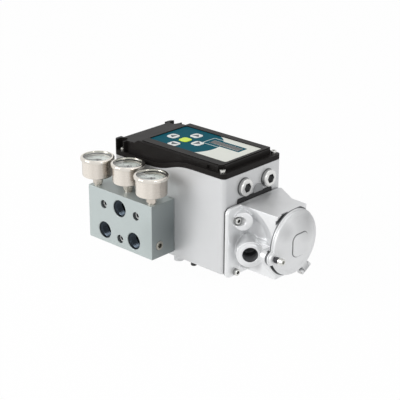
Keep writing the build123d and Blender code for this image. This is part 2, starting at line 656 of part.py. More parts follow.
# Moulded cover with the keypad deck, corner lugs and screw notches
with BuildPart() as cover:
    with BuildSketch(Plane.XY.offset(COVER_LOW)):
        with Locations((HOUSING_MID, 0)):
            RectangleRounded(HOUSING_LENGTH, HOUSING_WIDTH, HOUSING_CORNER)
    extrude(amount=RIGHT_SEAT - COVER_LOW)
    add(parting_space(GASKET_THICKNESS + BAND), mode=Mode.SUBTRACT)
    add(dome.part)
    with BuildSketch(Plane.XY.offset(COVER_LOW)) as lugs:
        with Locations((HOUSING_LEFT + LUG_LENGTH / 2, 0)):
            with GridLocations(0, 2 * BACK - LUG_WIDTH, 1, 2):
                Rectangle(LUG_LENGTH, LUG_WIDTH)
        outer = lugs.vertices().group_by(Axis.X)[0].sort_by(Axis.Y)
        fillet([outer[0], outer[-1]], HOUSING_CORNER)
    extrude(amount=SHOULDER_HEIGHT - COVER_LOW)
    deck_span = DECK_RIGHT - DECK_LEFT - 3 * DECK_STEP_WIDTH
    with BuildSketch(Plane.XY.offset(DECK_HEIGHT - DECK_STEP)):
        with Locations((DECK_RIGHT - DECK_STEP_WIDTH - deck_span / 2, 0)):
            RectangleRounded(deck_span, DECK_WIDTH - 2 * DECK_STEP_WIDTH, LABEL_CORNER)
    extrude(amount=DECK_STEP)
    add(parting_space(GASKET_THICKNESS, above=False), mode=Mode.SUBTRACT)
    # Hollow under the shoulder, then the higher hollow under the deck, clear of the four screw pillars
    hollows = ((HOUSING_LEFT + SHOULDER_INSET, SHOULDER_HEIGHT), (DECK_LEFT, DECK_BOTTOM + COVER_WALL))
    for left, top in hollows:
        inner_length = DECK_RIGHT - left - 2 * COVER_WALL
        with BuildSketch(Plane.XY.offset(COVER_LOW - 1.0)):
            with Locations(((DECK_RIGHT + left) / 2, 0)):
                RectangleRounded(inner_length, DECK_WIDTH - 2 * COVER_WALL, INNER_CORNER)
            with Locations(*COVER_SCREWS_LEFT, *COVER_SCREWS_RIGHT):
                Circle(NOTCH_RADIUS + COVER_WALL - 0.5, mode=Mode.SUBTRACT)
        extrude(amount=top - COVER_WALL - COVER_LOW + 1.0, mode=Mode.SUBTRACT)
    for places, seat in ((COVER_SCREWS_LEFT, LEFT_SEAT), (COVER_SCREWS_RIGHT, RIGHT_SEAT)):
        with BuildSketch(Plane.XY.offset(seat)):
            with Locations(*places):
                Circle(NOTCH_RADIUS)
            with Locations(*[(x, y * (1 + NOTCH_RADIUS / abs(y))) for x, y in places]):
                Rectangle(2 * NOTCH_RADIUS, 2 * NOTCH_RADIUS)
        extrude(amount=DECK_HEIGHT, mode=Mode.SUBTRACT)
        with BuildSketch(Plane.XY.offset(seat)):
            with Locations(*places):
                Circle(COVER_SCREW_RADIUS + COUNTERBORE_CLEARANCE)
        extrude(amount=-2 * BAND, mode=Mode.SUBTRACT)
    with BuildSketch(Plane.XY.offset(RIGHT_SEAT)):
        with Locations(*[(DECK_RIGHT - LIFT_SLOT_FROM_END, side * DECK_WIDTH / 2) for side in (-1, 1)]):
            Rectangle(LIFT_SLOT_WIDTH, 2 * LIFT_SLOT_DEPTH)
    extrude(amount=DECK_HEIGHT - RIGHT_SEAT - DECK_STEP_WIDTH, mode=Mode.SUBTRACT)
    with BuildSketch(Plane.XY.offset(DECK_HEIGHT)):
        with Locations((LABEL_X, LABEL_OFFSET_Y)):
            RectangleRounded(LABEL_LENGTH + 2 * KEY_GAP, LABEL_WIDTH + 2 * KEY_GAP, LABEL_CORNER)
    extrude(amount=-LABEL_RECESS, mode=Mode.SUBTRACT)
    with BuildSketch(Plane.XY.offset(LABEL_FLOOR)):
        with Locations(*KEYS.values()):
            RectangleRounded(KEY_SIZE + 2 * KEY_GAP, KEY_SIZE + 2 * KEY_GAP, KEY_CORNER)
    extrude(amount=KEY_POCKET - LABEL_FLOOR, mode=Mode.SUBTRACT)
    with BuildSketch(Plane.XY.offset(LABEL_FLOOR)):
        with Locations(*KEYS.values()):
            Circle(KEY_STEM_RADIUS + SLIDE_CLEARANCE)
        with Locations((LCD_X, LCD_Y)):
            Rectangle(LCD_LENGTH, LCD_WIDTH)
    extrude(amount=-DECK_THICKNESS, mode=Mode.SUBTRACT)
    with BuildSketch(Plane.XY.offset(DISPLAY_BOARD_Z + BOARD_THICKNESS)):
        with Locations(*DISPLAY_POSTS):
            Circle(DISPLAY_POST_RADIUS)
    extrude(amount=DECK_BOTTOM - DISPLAY_BOARD_Z - BOARD_THICKNESS)
save(cover, "cover")

# Cover screws, deep in the left notches and on the band at the right
left_screws = hex_socket_screw(
    Plane.XY.offset(LEFT_SEAT),
    COVER_SCREWS_LEFT,
    COVER_SCREW_RADIUS,
    BAND + GASKET_THICKNESS + COVER_SCREW_DEPTH - 1.0,
    COVER_SCREW_HEAD_RADIUS,
    COVER_SCREW_HEAD,
    COVER_SCREW_RADIUS * 1.5,
)
right_screws = hex_socket_screw(
    Plane.XY.offset(RIGHT_SEAT),
    COVER_SCREWS_RIGHT,
    COVER_SCREW_RADIUS,
    BAND + GASKET_THICKNESS + COVER_SCREW_DEPTH - 1.0,
    COVER_SCREW_HEAD_RADIUS,
    COVER_SCREW_HEAD,
    COVER_SCREW_RADIUS * 1.5,
)
with BuildPart() as cover_screws:
    add(left_screws.part)
    add(right_screws.part)
save(cover_screws, "cover_screws")

# Printed overlay in the deck's recess, with windows for the keys and the display
with BuildPart() as keypad_overlay:
    with BuildSketch(Plane.XY.offset(LABEL_FLOOR)):
        with Locations((LABEL_X, LABEL_OFFSET_Y)):
            RectangleRounded(LABEL_LENGTH, LABEL_WIDTH, LABEL_CORNER)
        with Locations(*KEYS.values()):
            RectangleRounded(
                KEY_SIZE + 2 * KEY_GAP, KEY_SIZE + 2 * KEY_GAP, KEY_CORNER + KEY_GAP, mode=Mode.SUBTRACT
            )
        with Locations((LCD_X, LCD_Y)):
            Rectangle(LCD_LENGTH, LCD_WIDTH, mode=Mode.SUBTRACT)
    extrude(amount=LABEL_THICKNESS)
save(keypad_overlay, "keypad_overlay")

for key_name, key_place in KEYS.items():
    with BuildPart() as key:
        with BuildSketch(Plane.XY.offset(KEY_BOTTOM)):
            with Locations(key_place):
                RectangleRounded(KEY_SIZE, KEY_SIZE, KEY_CORNER)
        extrude(amount=KEY_THICKNESS)
        fillet(key.faces().sort_by(Axis.Z)[-1].edges(), KEY_PROUD / 2)
        with BuildSketch(Plane.XY.offset(KEY_BOTTOM)):
            with Locations(key_place):
                Circle(KEY_STEM_RADIUS)
        extrude(amount=-KEY_STEM_LENGTH)
    save(key, key_name)

# Display: clear lens in the deck, module below it, and the board that carries module and key switches
with BuildPart() as lcd_lens:
    with BuildSketch(Plane.XY.offset(DECK_BOTTOM)):
        with Locations((LCD_X, LCD_Y)):
            Rectangle(LCD_LENGTH, LCD_WIDTH)
    extrude(amount=LABEL_TOP - DECK_BOTTOM)
save(lcd_lens, "lcd_lens")

with BuildPart() as lcd_module:
    with BuildSketch(Plane.XY.offset(DISPLAY_BOARD_Z + BOARD_THICKNESS)):
        with Locations((LCD_X, LCD_Y)):
            Rectangle(LCD_LENGTH + 2 * LCD_MARGIN, LCD_WIDTH + 2 * LCD_MARGIN)
    extrude(amount=DECK_BOTTOM - DISPLAY_BOARD_Z - BOARD_THICKNESS - LCD_GAP)
    with BuildSketch(Plane.XY.offset(DECK_BOTTOM - LCD_GAP)):
        with Locations((LCD_X, LCD_Y)):
            Rectangle(LCD_LENGTH, LCD_WIDTH)
    extrude(amount=-0.6, mode=Mode.SUBTRACT)
save(lcd_module, "lcd_module")

with BuildPart() as display_board:
    with BuildSketch(Plane.XY.offset(DISPLAY_BOARD_Z)):
        with Locations((DISPLAY_BOARD_X, 0)):
            RectangleRounded(DISPLAY_BOARD_LENGTH, DISPLAY_BOARD_WIDTH, LABEL_CORNER)
    extrude(amount=BOARD_THICKNESS)
    with BuildSketch(Plane.XY.offset(DISPLAY_BOARD_Z + BOARD_THICKNESS)):
        with Locations(*KEYS.values()):
            RectangleRounded(2.4 * KEY_STEM_RADIUS, 2.4 * KEY_STEM_RADIUS, 0.5)
    extrude(amount=SWITCH_HEIGHT)
save(display_board, "display_board")

# Feedback shaft with its collar, a spigot for the coupling below and a retaining ring groove above
with BuildPart() as feedback_shaft:
    with BuildSketch(Plane.XY.offset(SPIGOT_LENGTH - SHAFT_BELOW)):
        Circle(SHAFT_RADIUS)
    extrude(amount=SHAFT_BELOW - SPIGOT_LENGTH + SHAFT_TOP)
    with BuildSketch(Plane.XY.offset(-SHAFT_BELOW)):
        Circle(SPIGOT_RADIUS)
    extrude(amount=SPIGOT_LENGTH)
    ends = feedback_shaft.edges().group_by(Axis.Z)
    chamfer(ends[0] + ends[-1], 0.6)
    with BuildSketch(Plane.XY.offset(BUSH_TOP + RUNNING_CLEARANCE)):
        Circle(COLLAR_RADIUS)
    extrude(amount=COLLAR_HEIGHT)
    with BuildSketch(Plane.XY.offset(RING_Z)):
        Circle(SHAFT_RADIUS + 1.0)
        Circle(SHAFT_RADIUS - 0.6, mode=Mode.SUBTRACT)
    extrude(amount=RING_THICKNESS, mode=Mode.SUBTRACT)
save(feedback_shaft, "feedback_shaft")

with BuildPart() as lower_bush:
    with BuildSketch(Plane.XY.offset(BUSH_BOTTOM)):
        Circle(BUSH_RADIUS)
        Circle(SHAFT_RADIUS + RUNNING_CLEARANCE, mode=Mode.SUBTRACT)
    extrude(amount=BUSH_LENGTH)
save(lower_bush, "lower_bush")

with BuildPart() as upper_bush:
    with BuildSketch(Plane.XY.offset(FRAME_Z)):
        Circle(UPPER_BUSH_RADIUS)
    extrude(amount=UPPER_BUSH_LENGTH)
    with BuildSketch(Plane.XY.offset(FRAME_TOP)):
        Circle(UPPER_BUSH_RADIUS + 2.0)
    extrude(amount=1.5)
    with BuildSketch(Plane.XY.offset(FRAME_Z)):
        Circle(SHAFT_RADIUS + RUNNING_CLEARANCE)
    extrude(amount=UPPER_BUSH_LENGTH, mode=Mode.SUBTRACT)
save(upper_bush, "upper_bush")

with BuildPart() as shaft_seal:
    with BuildSketch(Plane.XY.offset(BEARING_BOSS_BOTTOM + 0.3)):
        Circle(SEAL_RADIUS)
        Circle(SHAFT_RADIUS + RUNNING_CLEARANCE, mode=Mode.SUBTRACT)
    extrude(amount=SEAL_THICKNESS)
save(shaft_seal, "shaft_seal")

with BuildPart() as retaining_ring:
    with BuildSketch(Plane.XY.offset(RING_Z)):
        Circle(SHAFT_RADIUS + 2.2)
        Circle(SHAFT_RADIUS - 0.6, mode=Mode.SUBTRACT)
        with Locations((SHAFT_RADIUS + 1.0, 0)):
            Rectangle(2 * SHAFT_RADIUS, 1.6, mode=Mode.SUBTRACT)
    extrude(amount=RING_THICKNESS)
save(retaining_ring, "retaining_ring")

with BuildPart() as drive_gear:
    with BuildSketch(Plane.XY.offset(GEAR_Z)):
        with BuildLine():
            Polyline(*gear_outline(0, GEAR_TEETH, 0), close=True)
        make_face()
        with PolarLocations(GEAR_MODULE * GEAR_TEETH / 3.1, 6, start_angle=30):
            Circle(GEAR_MODULE * GEAR_TEETH / 12, mode=Mode.SUBTRACT)
    extrude(amount=GEAR_THICKNESS)
    with BuildSketch(Plane.XY.offset(GEAR_Z - COLLAR_HEIGHT)):
        Circle(HUB_RADIUS)
    extrude(amount=COLLAR_HEIGHT)
    with BuildSketch(Plane.XY.offset(GEAR_Z - COLLAR_HEIGHT)):
        Circle(SHAFT_RADIUS)
    extrude(amount=COLLAR_HEIGHT + GEAR_THICKNESS, mode=Mode.SUBTRACT)
save(drive_gear, "drive_gear")

with BuildPart() as pot_pinion:
    with BuildSketch(Plane.XY.offset(GEAR_Z)):
        with BuildLine():
            Polyline(*gear_outline(PINION_X, PINION_TEETH, 180 / PINION_TEETH), close=True)
        make_face()
    extrude(amount=GEAR_THICKNESS)
    with BuildSketch(Plane.XY.offset(GEAR_Z)):
        with Locations((PINION_X, 0)):
            Circle(POT_SHAFT_RADIUS)
    extrude(amount=FRAME_TOP + POT_HEIGHT - 2.0 - GEAR_Z)
save(pot_pinion, "pot_pinion")

with BuildPart() as potentiometer:
    with BuildSketch(Plane.XY.offset(FRAME_TOP)):
        with Locations((PINION_X, 0)):
            Circle(POT_RADIUS)
    extrude(amount=POT_HEIGHT)
    with BuildSketch(Plane.XY.offset(FRAME_Z - 2.0)):
        with Locations((PINION_X, 0)):
            Circle(POT_BUSHING_RADIUS)
    extrude(amount=FRAME_THICKNESS + 2.0)
    with BuildSketch(Plane.XY.offset(FRAME_TOP + 2.0)):
        with Locations((PINION_X + POT_RADIUS + 1.0, 0)):
            Rectangle(6.0, 10.0)
    extrude(amount=1.6)
    with BuildSketch(Plane.XY.offset(FRAME_Z - 2.0)):
        with Locations((PINION_X, 0)):
            Circle(POT_SHAFT_RADIUS + RUNNING_CLEARANCE)
    extrude(amount=FRAME_THICKNESS + POT_HEIGHT + 0.5, mode=Mode.SUBTRACT)
save(potentiometer, "potentiometer")

# Inner frame on four legs, board standoffs above it, and the main board
with BuildPart() as inner_frame:
    with BuildSketch(Plane.XY.offset(FRAME_Z)):
        with Locations((FRAME_X, FRAME_Y)):
            RectangleRounded(FRAME_LENGTH, FRAME_WIDTH, FRAME_LEG_INSET)
        Circle(UPPER_BUSH_RADIUS, mode=Mode.SUBTRACT)
        with Locations((PINION_X, 0)):
            Circle(POT_BUSHING_RADIUS, mode=Mode.SUBTRACT)
    extrude(amount=FRAME_THICKNESS)
    with BuildSketch(Plane.XY.offset(CAVITY_Z)):
        with Locations(*FRAME_LEGS):
            Circle(FRAME_LEG_RADIUS)
    extrude(amount=FRAME_Z - CAVITY_Z)
save(inner_frame, "inner_frame")

with BuildPart() as board_standoffs:
    with BuildSketch(Plane.XY.offset(FRAME_TOP)):
        with Locations(*FRAME_LEGS):
            RegularPolygon(STANDOFF_RADIUS, 6)
    extrude(amount=STANDOFF_HEIGHT)
save(board_standoffs, "board_standoffs")

with BuildPart() as main_board:
    with BuildSketch(Plane.XY.offset(MAIN_BOARD_Z)):
        with Locations((FRAME_X, FRAME_Y)):
            RectangleRounded(MAIN_BOARD_LENGTH, MAIN_BOARD_WIDTH, LABEL_CORNER)
    extrude(amount=BOARD_THICKNESS)
    with BuildSketch(Plane.XY.offset(MAIN_BOARD_Z + BOARD_THICKNESS)):
        with Locations((FRAME_X + MAIN_BOARD_LENGTH / 3, FRAME_Y)):
            Rectangle(CONNECTOR_DEPTH, MAIN_BOARD_WIDTH * 0.7)
        with Locations((FRAME_X - MAIN_BOARD_LENGTH / 3, FRAME_Y + MAIN_BOARD_WIDTH / 6)):
            Rectangle(CHIP_LENGTH, CHIP_WIDTH)
        with Locations((FRAME_X, FRAME_Y)):
            Rectangle(CHIP_WIDTH, CHIP_WIDTH)
        with GridLocations(CAPACITOR_PITCH, 0, 3, 1):
            with Locations((FRAME_X - MAIN_BOARD_LENGTH / 4, FRAME_Y - MAIN_BOARD_WIDTH / 3)):
                Circle(CAPACITOR_RADIUS)
    extrude(amount=COMPONENT_HEIGHT)
save(main_board, "main_board")

# Current-to-pressure converter and the spool valve with its sliding spool
with BuildPart() as ip_converter:
    with BuildSketch(Plane.XY.offset(CAVITY_Z)):
        with Locations((HOUSING_LEFT + WALL + CONVERTER_GAP + CONVERTER_LENGTH / 2, 0)):
            RectangleRounded(CONVERTER_LENGTH, CONVERTER_WIDTH, 2.0)
    extrude(amount=CONVERTER_HEIGHT)
    with BuildSketch(Plane.XY.offset(CAVITY_Z + CONVERTER_HEIGHT)):
        with Locations((HOUSING_LEFT + WALL + CONVERTER_GAP + CONVERTER_LENGTH / 2, 0)):
            Circle(CONVERTER_LENGTH * 0.38)
    extrude(amount=8.0)
save(ip_converter, "ip_converter")

with BuildPart() as valve_body:
    with BuildSketch(Plane.YZ.offset(VALVE_X - VALVE_LENGTH / 2)):
        with Locations((VALVE_Y, VALVE_Z)):
            RectangleRounded(VALVE_DEPTH, VALVE_HEIGHT, 1.5)
            Circle(SPOOL_RADIUS + RUNNING_CLEARANCE, mode=Mode.SUBTRACT)
    extrude(amount=VALVE_LENGTH)
save(valve_body, "valve_body")

with BuildPart() as valve_spool:
    spool_length = VALVE_LENGTH + 2 * SPOOL_OVERHANG
    with BuildSketch(Plane.YZ.offset(VALVE_X - spool_length / 2)):
        with Locations((VALVE_Y, VALVE_Z)):
            Circle(SPOOL_RADIUS)
    extrude(amount=spool_length)
    for groove in (-1.5, -0.5, 0.5, 1.5):
        with BuildSketch(Plane.YZ.offset(VALVE_X + groove * VALVE_LENGTH / 5 - 3.0)):
            with Locations((VALVE_Y, VALVE_Z)):
                Circle(SPOOL_RADIUS + 1.0)
                Circle(SPOOL_RADIUS - 1.4, mode=Mode.SUBTRACT)
        extrude(amount=6.0, mode=Mode.SUBTRACT)
save(valve_spool, "valve_spool")

# Manifold block with three threaded ports, counterbored screw holes and gauge threads
with BuildPart() as manifold_block:
    with BuildSketch(Plane.XZ.offset(-BLOCK_BACK)):
        with Locations((BLOCK_MID, BLOCK_BOTTOM + BLOCK_HEIGHT / 2)):
            Rectangle(BLOCK_LENGTH, BLOCK_HEIGHT)
    extrude(amount=BLOCK_DEPTH)
    chamfer(manifold_block.edges(), BLOCK_EDGE)
    with BuildSketch(Plane.XZ.offset(-BLOCK_FRONT)):
        with Locations(*PORTS):
            Circle(PORT_RADIUS)
    extrude(amount=-PORT_DEPTH, mode=Mode.SUBTRACT)
    mouths = manifold_block.faces().sort_by(Axis.Y)[0].edges().filter_by(GeomType.CIRCLE)
    chamfer(mouths, PORT_MOUTH_RADIUS - PORT_RADIUS)
    with BuildSketch(Plane.XZ.offset(-BLOCK_FRONT)):
        with Locations(*BLOCK_SCREWS):
            Circle(BLOCK_SCREW_HEAD_RADIUS + COUNTERBORE_CLEARANCE)
    extrude(amount=-BLOCK_SCREW_SINK, mode=Mode.SUBTRACT)
    with BuildSketch(Plane.XZ.offset(-BLOCK_FRONT)):
        with Locations(*BLOCK_SCREWS):
            Circle(BLOCK_SCREW_RADIUS + COUNTERBORE_CLEARANCE)
        with Locations(*PORTS):
            Circle(PASSAGE_RADIUS)
    extrude(amount=-BLOCK_DEPTH, mode=Mode.SUBTRACT)
    with BuildSketch(Plane.XY.offset(BLOCK_TOP)):
        with Locations(*GAUGE_POSITIONS):
            Circle(GAUGE_THREAD_RADIUS + THREAD_CLEARANCE)
    extrude(amount=-GAUGE_THREAD_LENGTH - GAUGE_THREAD_RUNOUT, mode=Mode.SUBTRACT)
    with BuildSketch(Plane.YZ.offset(BLOCK_RIGHT)):
        with Locations((SIDE_PLUG_Y, SIDE_PLUG_Z)):
            Circle(SIDE_PLUG_RADIUS + THREAD_CLEARANCE)
    extrude(amount=-SIDE_PLUG_LENGTH - 1.0, mode=Mode.SUBTRACT)
    with BuildSketch(Plane.XZ.offset(-BLOCK_BACK)):
        with Locations(*PORTS):
            Circle(PASSAGE_RADIUS + 1.0 + SEAL_WIRE)
    extrude(amount=SEAL_WIRE - BLOCK_GAP, mode=Mode.SUBTRACT)
save(manifold_block, "manifold_block")

manifold_screws = hex_socket_screw(
    Plane.XZ.offset(-BLOCK_FRONT - BLOCK_SCREW_SINK),
    BLOCK_SCREWS,
    BLOCK_SCREW_RADIUS,
    BLOCK_DEPTH - BLOCK_SCREW_SINK + BLOCK_GAP + BLOCK_SCREW_BITE,
    BLOCK_SCREW_HEAD_RADIUS,
    BLOCK_SCREW_HEAD,
    BLOCK_SCREW_RADIUS * 5 / 3,
)
save(manifold_screws, "manifold_screws")

with BuildPart() as manifold_plug:
    with BuildSketch(Plane.YZ.offset(BLOCK_RIGHT - SIDE_PLUG_LENGTH)):
        with Locations((SIDE_PLUG_Y, SIDE_PLUG_Z)):
            Circle(SIDE_PLUG_RADIUS)
    extrude(amount=SIDE_PLUG_LENGTH + SIDE_PLUG_PROUD)
    fillet(manifold_plug.edges().sort_by(Axis.X)[-1], SIDE_PLUG_PROUD)
    with BuildSketch(Plane.YZ.offset(BLOCK_RIGHT + SIDE_PLUG_PROUD)):
        with Locations((SIDE_PLUG_Y, SIDE_PLUG_Z)):
            RegularPolygon(SIDE_PLUG_RADIUS * 0.5, 6, major_radius=False)
    extrude(amount=-SIDE_PLUG_LENGTH / 2, mode=Mode.SUBTRACT)
save(manifold_plug, "manifold_plug")

with BuildPart() as manifold_seals:
    with BuildSketch(Plane.XZ.offset(-FRONT)):
        with Locations(*PORTS):
            Circle(PASSAGE_RADIUS + 1.0 + SEAL_WIRE)
            Circle(PASSAGE_RADIUS + 1.0, mode=Mode.SUBTRACT)
    extrude(amount=SEAL_WIRE)
save(manifold_seals, "manifold_seals")

# Gauge sockets: a neck at the block, spanner flats, a shoulder under the case and a thread in the block
with BuildPart() as gauge_sockets:
    with BuildSketch(Plane.XY.offset(BLOCK_TOP - GAUGE_THREAD_LENGTH)):
        with Locations(*GAUGE_POSITIONS):
            Circle(GAUGE_THREAD_RADIUS)
    extrude(amount=GAUGE_THREAD_LENGTH)
    with BuildSketch(Plane.XY.offset(BLOCK_TOP)):
        with Locations(*GAUGE_POSITIONS):
            Circle(GAUGE_NECK_RADIUS)
    extrude(amount=GAUGE_NECK_HEIGHT)
    with BuildSketch(Plane.XY.offset(BLOCK_TOP + GAUGE_NECK_HEIGHT)):
        with Locations(*GAUGE_POSITIONS):
            RegularPolygon(GAUGE_FLATS / 2, 6, major_radius=False)
    extrude(amount=GAUGE_FLATS_HEIGHT)
    with BuildSketch(Plane.XY.offset(BLOCK_TOP + GAUGE_NECK_HEIGHT + GAUGE_FLATS_HEIGHT)):
        with Locations(*GAUGE_POSITIONS):
            Circle(GAUGE_SHOULDER_RADIUS)
    extrude(amount=GAUGE_STEM_HEIGHT - GAUGE_NECK_HEIGHT - GAUGE_FLATS_HEIGHT)
    with BuildSketch(Plane.XY.offset(GAUGE_CASE_Z)):
        with Locations(*GAUGE_POSITIONS):
            Circle(GAUGE_SHOULDER_RADIUS - 1.5)
    extrude(amount=GAUGE_CASE_WALL + GAUGE_SPIGOT)
save(gauge_sockets, "gauge_sockets")

# Bent tubes inside the gauges, standing on the sockets
tube_base = GAUGE_CASE_Z + GAUGE_CASE_WALL + GAUGE_SPIGOT
with BuildPart() as gauge_tubes:
    for gauge_x, gauge_y in GAUGE_POSITIONS:
        with BuildLine(Plane.XY.offset(tube_base + GAUGE_TUBE_RADIUS)):
            bend = CenterArc((gauge_x, gauge_y), GAUGE_TUBE_BEND, -90, 250)
        with BuildSketch(Plane(bend @ 0, z_dir=bend % 0)):
            Circle(GAUGE_TUBE_RADIUS)
        sweep(path=bend)
    with BuildSketch(Plane.XY.offset(tube_base)):
        for gauge_x, gauge_y in GAUGE_POSITIONS:
            with Locations((gauge_x, gauge_y - GAUGE_TUBE_BEND / 2)):
                Rectangle(3 * GAUGE_TUBE_RADIUS, GAUGE_TUBE_BEND + GAUGE_TUBE_RADIUS)
    extrude(amount=2 * GAUGE_TUBE_RADIUS)
save(gauge_tubes, "gauge_tubes")

for number, (gauge_x, gauge_y) in enumerate(GAUGE_POSITIONS, start=1):
    with BuildPart() as gauge_case:
        with BuildSketch(Plane.XY.offset(GAUGE_CASE_Z)):
            with Locations((gauge_x, gauge_y)):
                Circle(GAUGE_CASE_RADIUS)
        extrude(amount=GAUGE_CASE_HEIGHT)
        fillet(gauge_case.edges().group_by(Axis.Z)[0], GAUGE_CASE_CORNER)
        with BuildSketch(Plane.XY.offset(GAUGE_CASE_Z + GAUGE_CASE_WALL)):
            with Locations((gauge_x, gauge_y)):
                Circle(GAUGE_CASE_RADIUS - GAUGE_CASE_WALL)
        extrude(amount=GAUGE_CASE_HEIGHT, mode=Mode.SUBTRACT)
        with BuildSketch(Plane.XY.offset(GAUGE_CASE_Z)):
            with Locations((gauge_x, gauge_y)):
                Circle(GAUGE_SHOULDER_RADIUS - 1.5)
        extrude(amount=GAUGE_CASE_WALL, mode=Mode.SUBTRACT)
    save(gauge_case, f"gauge_{number}_case")

    with BuildPart() as gauge_bezel:
        with BuildSketch(Plane.XY.offset(GAUGE_BEZEL_Z)):
            with Locations((gauge_x, gauge_y)):
                Circle(GAUGE_BEZEL_RADIUS)
        extrude(amount=GAUGE_BEZEL_HEIGHT)
        fillet(gauge_bezel.edges().group_by(Axis.Z)[-1], GAUGE_BEZEL_HEIGHT * 0.4)
        fillet(gauge_bezel.edges().group_by(Axis.Z)[0], GAUGE_BEZEL_HEIGHT * 0.25)
        with BuildSketch(Plane.XY.offset(GAUGE_BEZEL_Z)):
            with Locations((gauge_x, gauge_y)):
                Circle(GAUGE_WINDOW_RADIUS)
        extrude(amount=GAUGE_BEZEL_HEIGHT, mode=Mode.SUBTRACT)
    save(gauge_bezel, f"gauge_{number}_bezel")

    with BuildPart() as gauge_lens:
        with BuildSketch(Plane.XY.offset(GAUGE_TOP - GAUGE_LENS_SINK - GAUGE_LENS_THICKNESS)):
            with Locations((gauge_x, gauge_y)):
                Circle(GAUGE_WINDOW_RADIUS)
        extrude(amount=GAUGE_LENS_THICKNESS)
    save(gauge_lens, f"gauge_{number}_lens")

    with BuildPart() as gauge_dial:
        with BuildSketch(Plane.XY.offset(GAUGE_DIAL_Z)):
            with Locations((gauge_x, gauge_y)):
                Circle(GAUGE_DIAL_RADIUS)
                Circle(POINTER_SHAFT_RADIUS + RUNNING_CLEARANCE, mode=Mode.SUBTRACT)
        extrude(amount=GAUGE_DIAL_THICKNESS)
        with BuildSketch(Plane.XY.offset(GAUGE_DIAL_Z - 5.0)):
            with Locations((gauge_x, gauge_y)):
                Circle(GAUGE_DIAL_RADIUS * 0.35)
                Circle(POINTER_SHAFT_RADIUS + RUNNING_CLEARANCE, mode=Mode.SUBTRACT)
        extrude(amount=5.0)
    save(gauge_dial, f"gauge_{number}_dial")

    with BuildPart() as gauge_pointer:
        needle = Plane((gauge_x, gauge_y, POINTER_Z)).rotated((0, 0, POINTER_START))
        with BuildSketch(needle):
            with BuildLine():
                Polyline(
                    (-POINTER_TAIL, -0.9),
                    (0, -0.8),
                    (POINTER_LENGTH, -0.25),
                    (POINTER_LENGTH, 0.25),
                    (0, 0.8),
                    (-POINTER_TAIL, 0.9),
                    close=True,
                )
            make_face()
            Circle(POINTER_HUB_RADIUS)
        extrude(amount=POINTER_THICKNESS)
        with BuildSketch(Plane((gauge_x, gauge_y, GAUGE_DIAL_Z - 4.0))):
            Circle(POINTER_SHAFT_RADIUS)
        extrude(amount=POINTER_Z + POINTER_THICKNESS + 0.4 - GAUGE_DIAL_Z + 4.0)
    save(gauge_pointer, f"gauge_{number}_pointer")

# Large socket-head plugs on the right end face
with BuildPart() as end_plugs:
    with BuildSketch(Plane.YZ.offset(HOUSING_RIGHT)):
        with Locations(*END_PLUGS):
            Circle(END_PLUG_HEAD_RADIUS)
    extrude(amount=END_PLUG_HEAD)
    fillet(end_plugs.edges().group_by(Axis.X)[-1], END_PLUG_ROUND)
    with BuildSketch(Plane.YZ.offset(HOUSING_RIGHT + END_PLUG_HEAD)):
        with Locations(*END_PLUGS):
            RegularPolygon(END_PLUG_SOCKET / 2, 6, major_radius=False)
    extrude(amount=-END_PLUG_SOCKET_DEPTH, mode=Mode.SUBTRACT)
    with BuildSketch(Plane.YZ.offset(HOUSING_RIGHT)):
        with Locations(*END_PLUGS):
            Circle(END_PLUG_THREAD_RADIUS)
    extrude(amount=-END_PLUG_THREAD)
save(end_plugs, "end_plugs")

with BuildPart() as vent_plug:
    with BuildSketch(Plane.XY.offset(BOSS_HEIGHT - VENT_LENGTH)):
        with Locations((VENT_X, VENT_Y)):
            Circle(VENT_RADIUS)
    extrude(amount=VENT_LENGTH)
    chamfer(vent_plug.edges().group_by(Axis.Z)[0], 0.6)
    with BuildSketch(Plane.XY.offset(BOSS_HEIGHT)):
        with Locations((VENT_X, VENT_Y)):
            Circle(VENT_RADIUS - 1.0)
    extrude(amount=FLOOR)
save(vent_plug, "vent_plug")

# Terminal box: flange, box with a flare at the back, dished front corner, cable entry and clamp lug
with BuildPart() as terminal_gasket:
    with BuildSketch(Plane.YZ.offset(HOUSING_RIGHT)):
        with Locations((0, FLANGE_Z)):
            RectangleRounded(FLANGE_WIDTH - 2.0, FLANGE_HEIGHT - 2.0, FLANGE_CORNER - 1.0)
        with Locations((GASKET_TAB_Y, (GASKET_TAB_TOP + FLANGE_Z) / 2)):
            RectangleRounded(GASKET_TAB_WIDTH, GASKET_TAB_TOP - FLANGE_Z, 3.0)
        with Locations(WIRE_PASS):
            Circle(WIRE_PASS_RADIUS, mode=Mode.SUBTRACT)
        with Locations(*FLANGE_SCREWS):
            Circle(FLANGE_SCREW_RADIUS + COUNTERBORE_CLEARANCE, mode=Mode.SUBTRACT)
    extrude(amount=TERMINAL_GASKET)
save(terminal_gasket, "terminal_gasket")

conduit_plane = Plane((CONDUIT_X, CONDUIT_Y, CONDUIT_Z), x_dir=(1, 1, 0), z_dir=(1, -1, 0))
blank_plane = Plane((BLANK_X, BLANK_Y, BLANK_Z), x_dir=(1, 1, 0), z_dir=(1, -1, 0))
hinge_along = (0, -sin(radians(HINGE_ANGLE)), cos(radians(HINGE_ANGLE)))
hinge_plane = Plane((HINGE_X, HINGE_Y, HINGE_Z), x_dir=(1, 0, 0), z_dir=hinge_along)
EAR_REACH = HINGE_KNUCKLE / 2 + HINGE_GAP

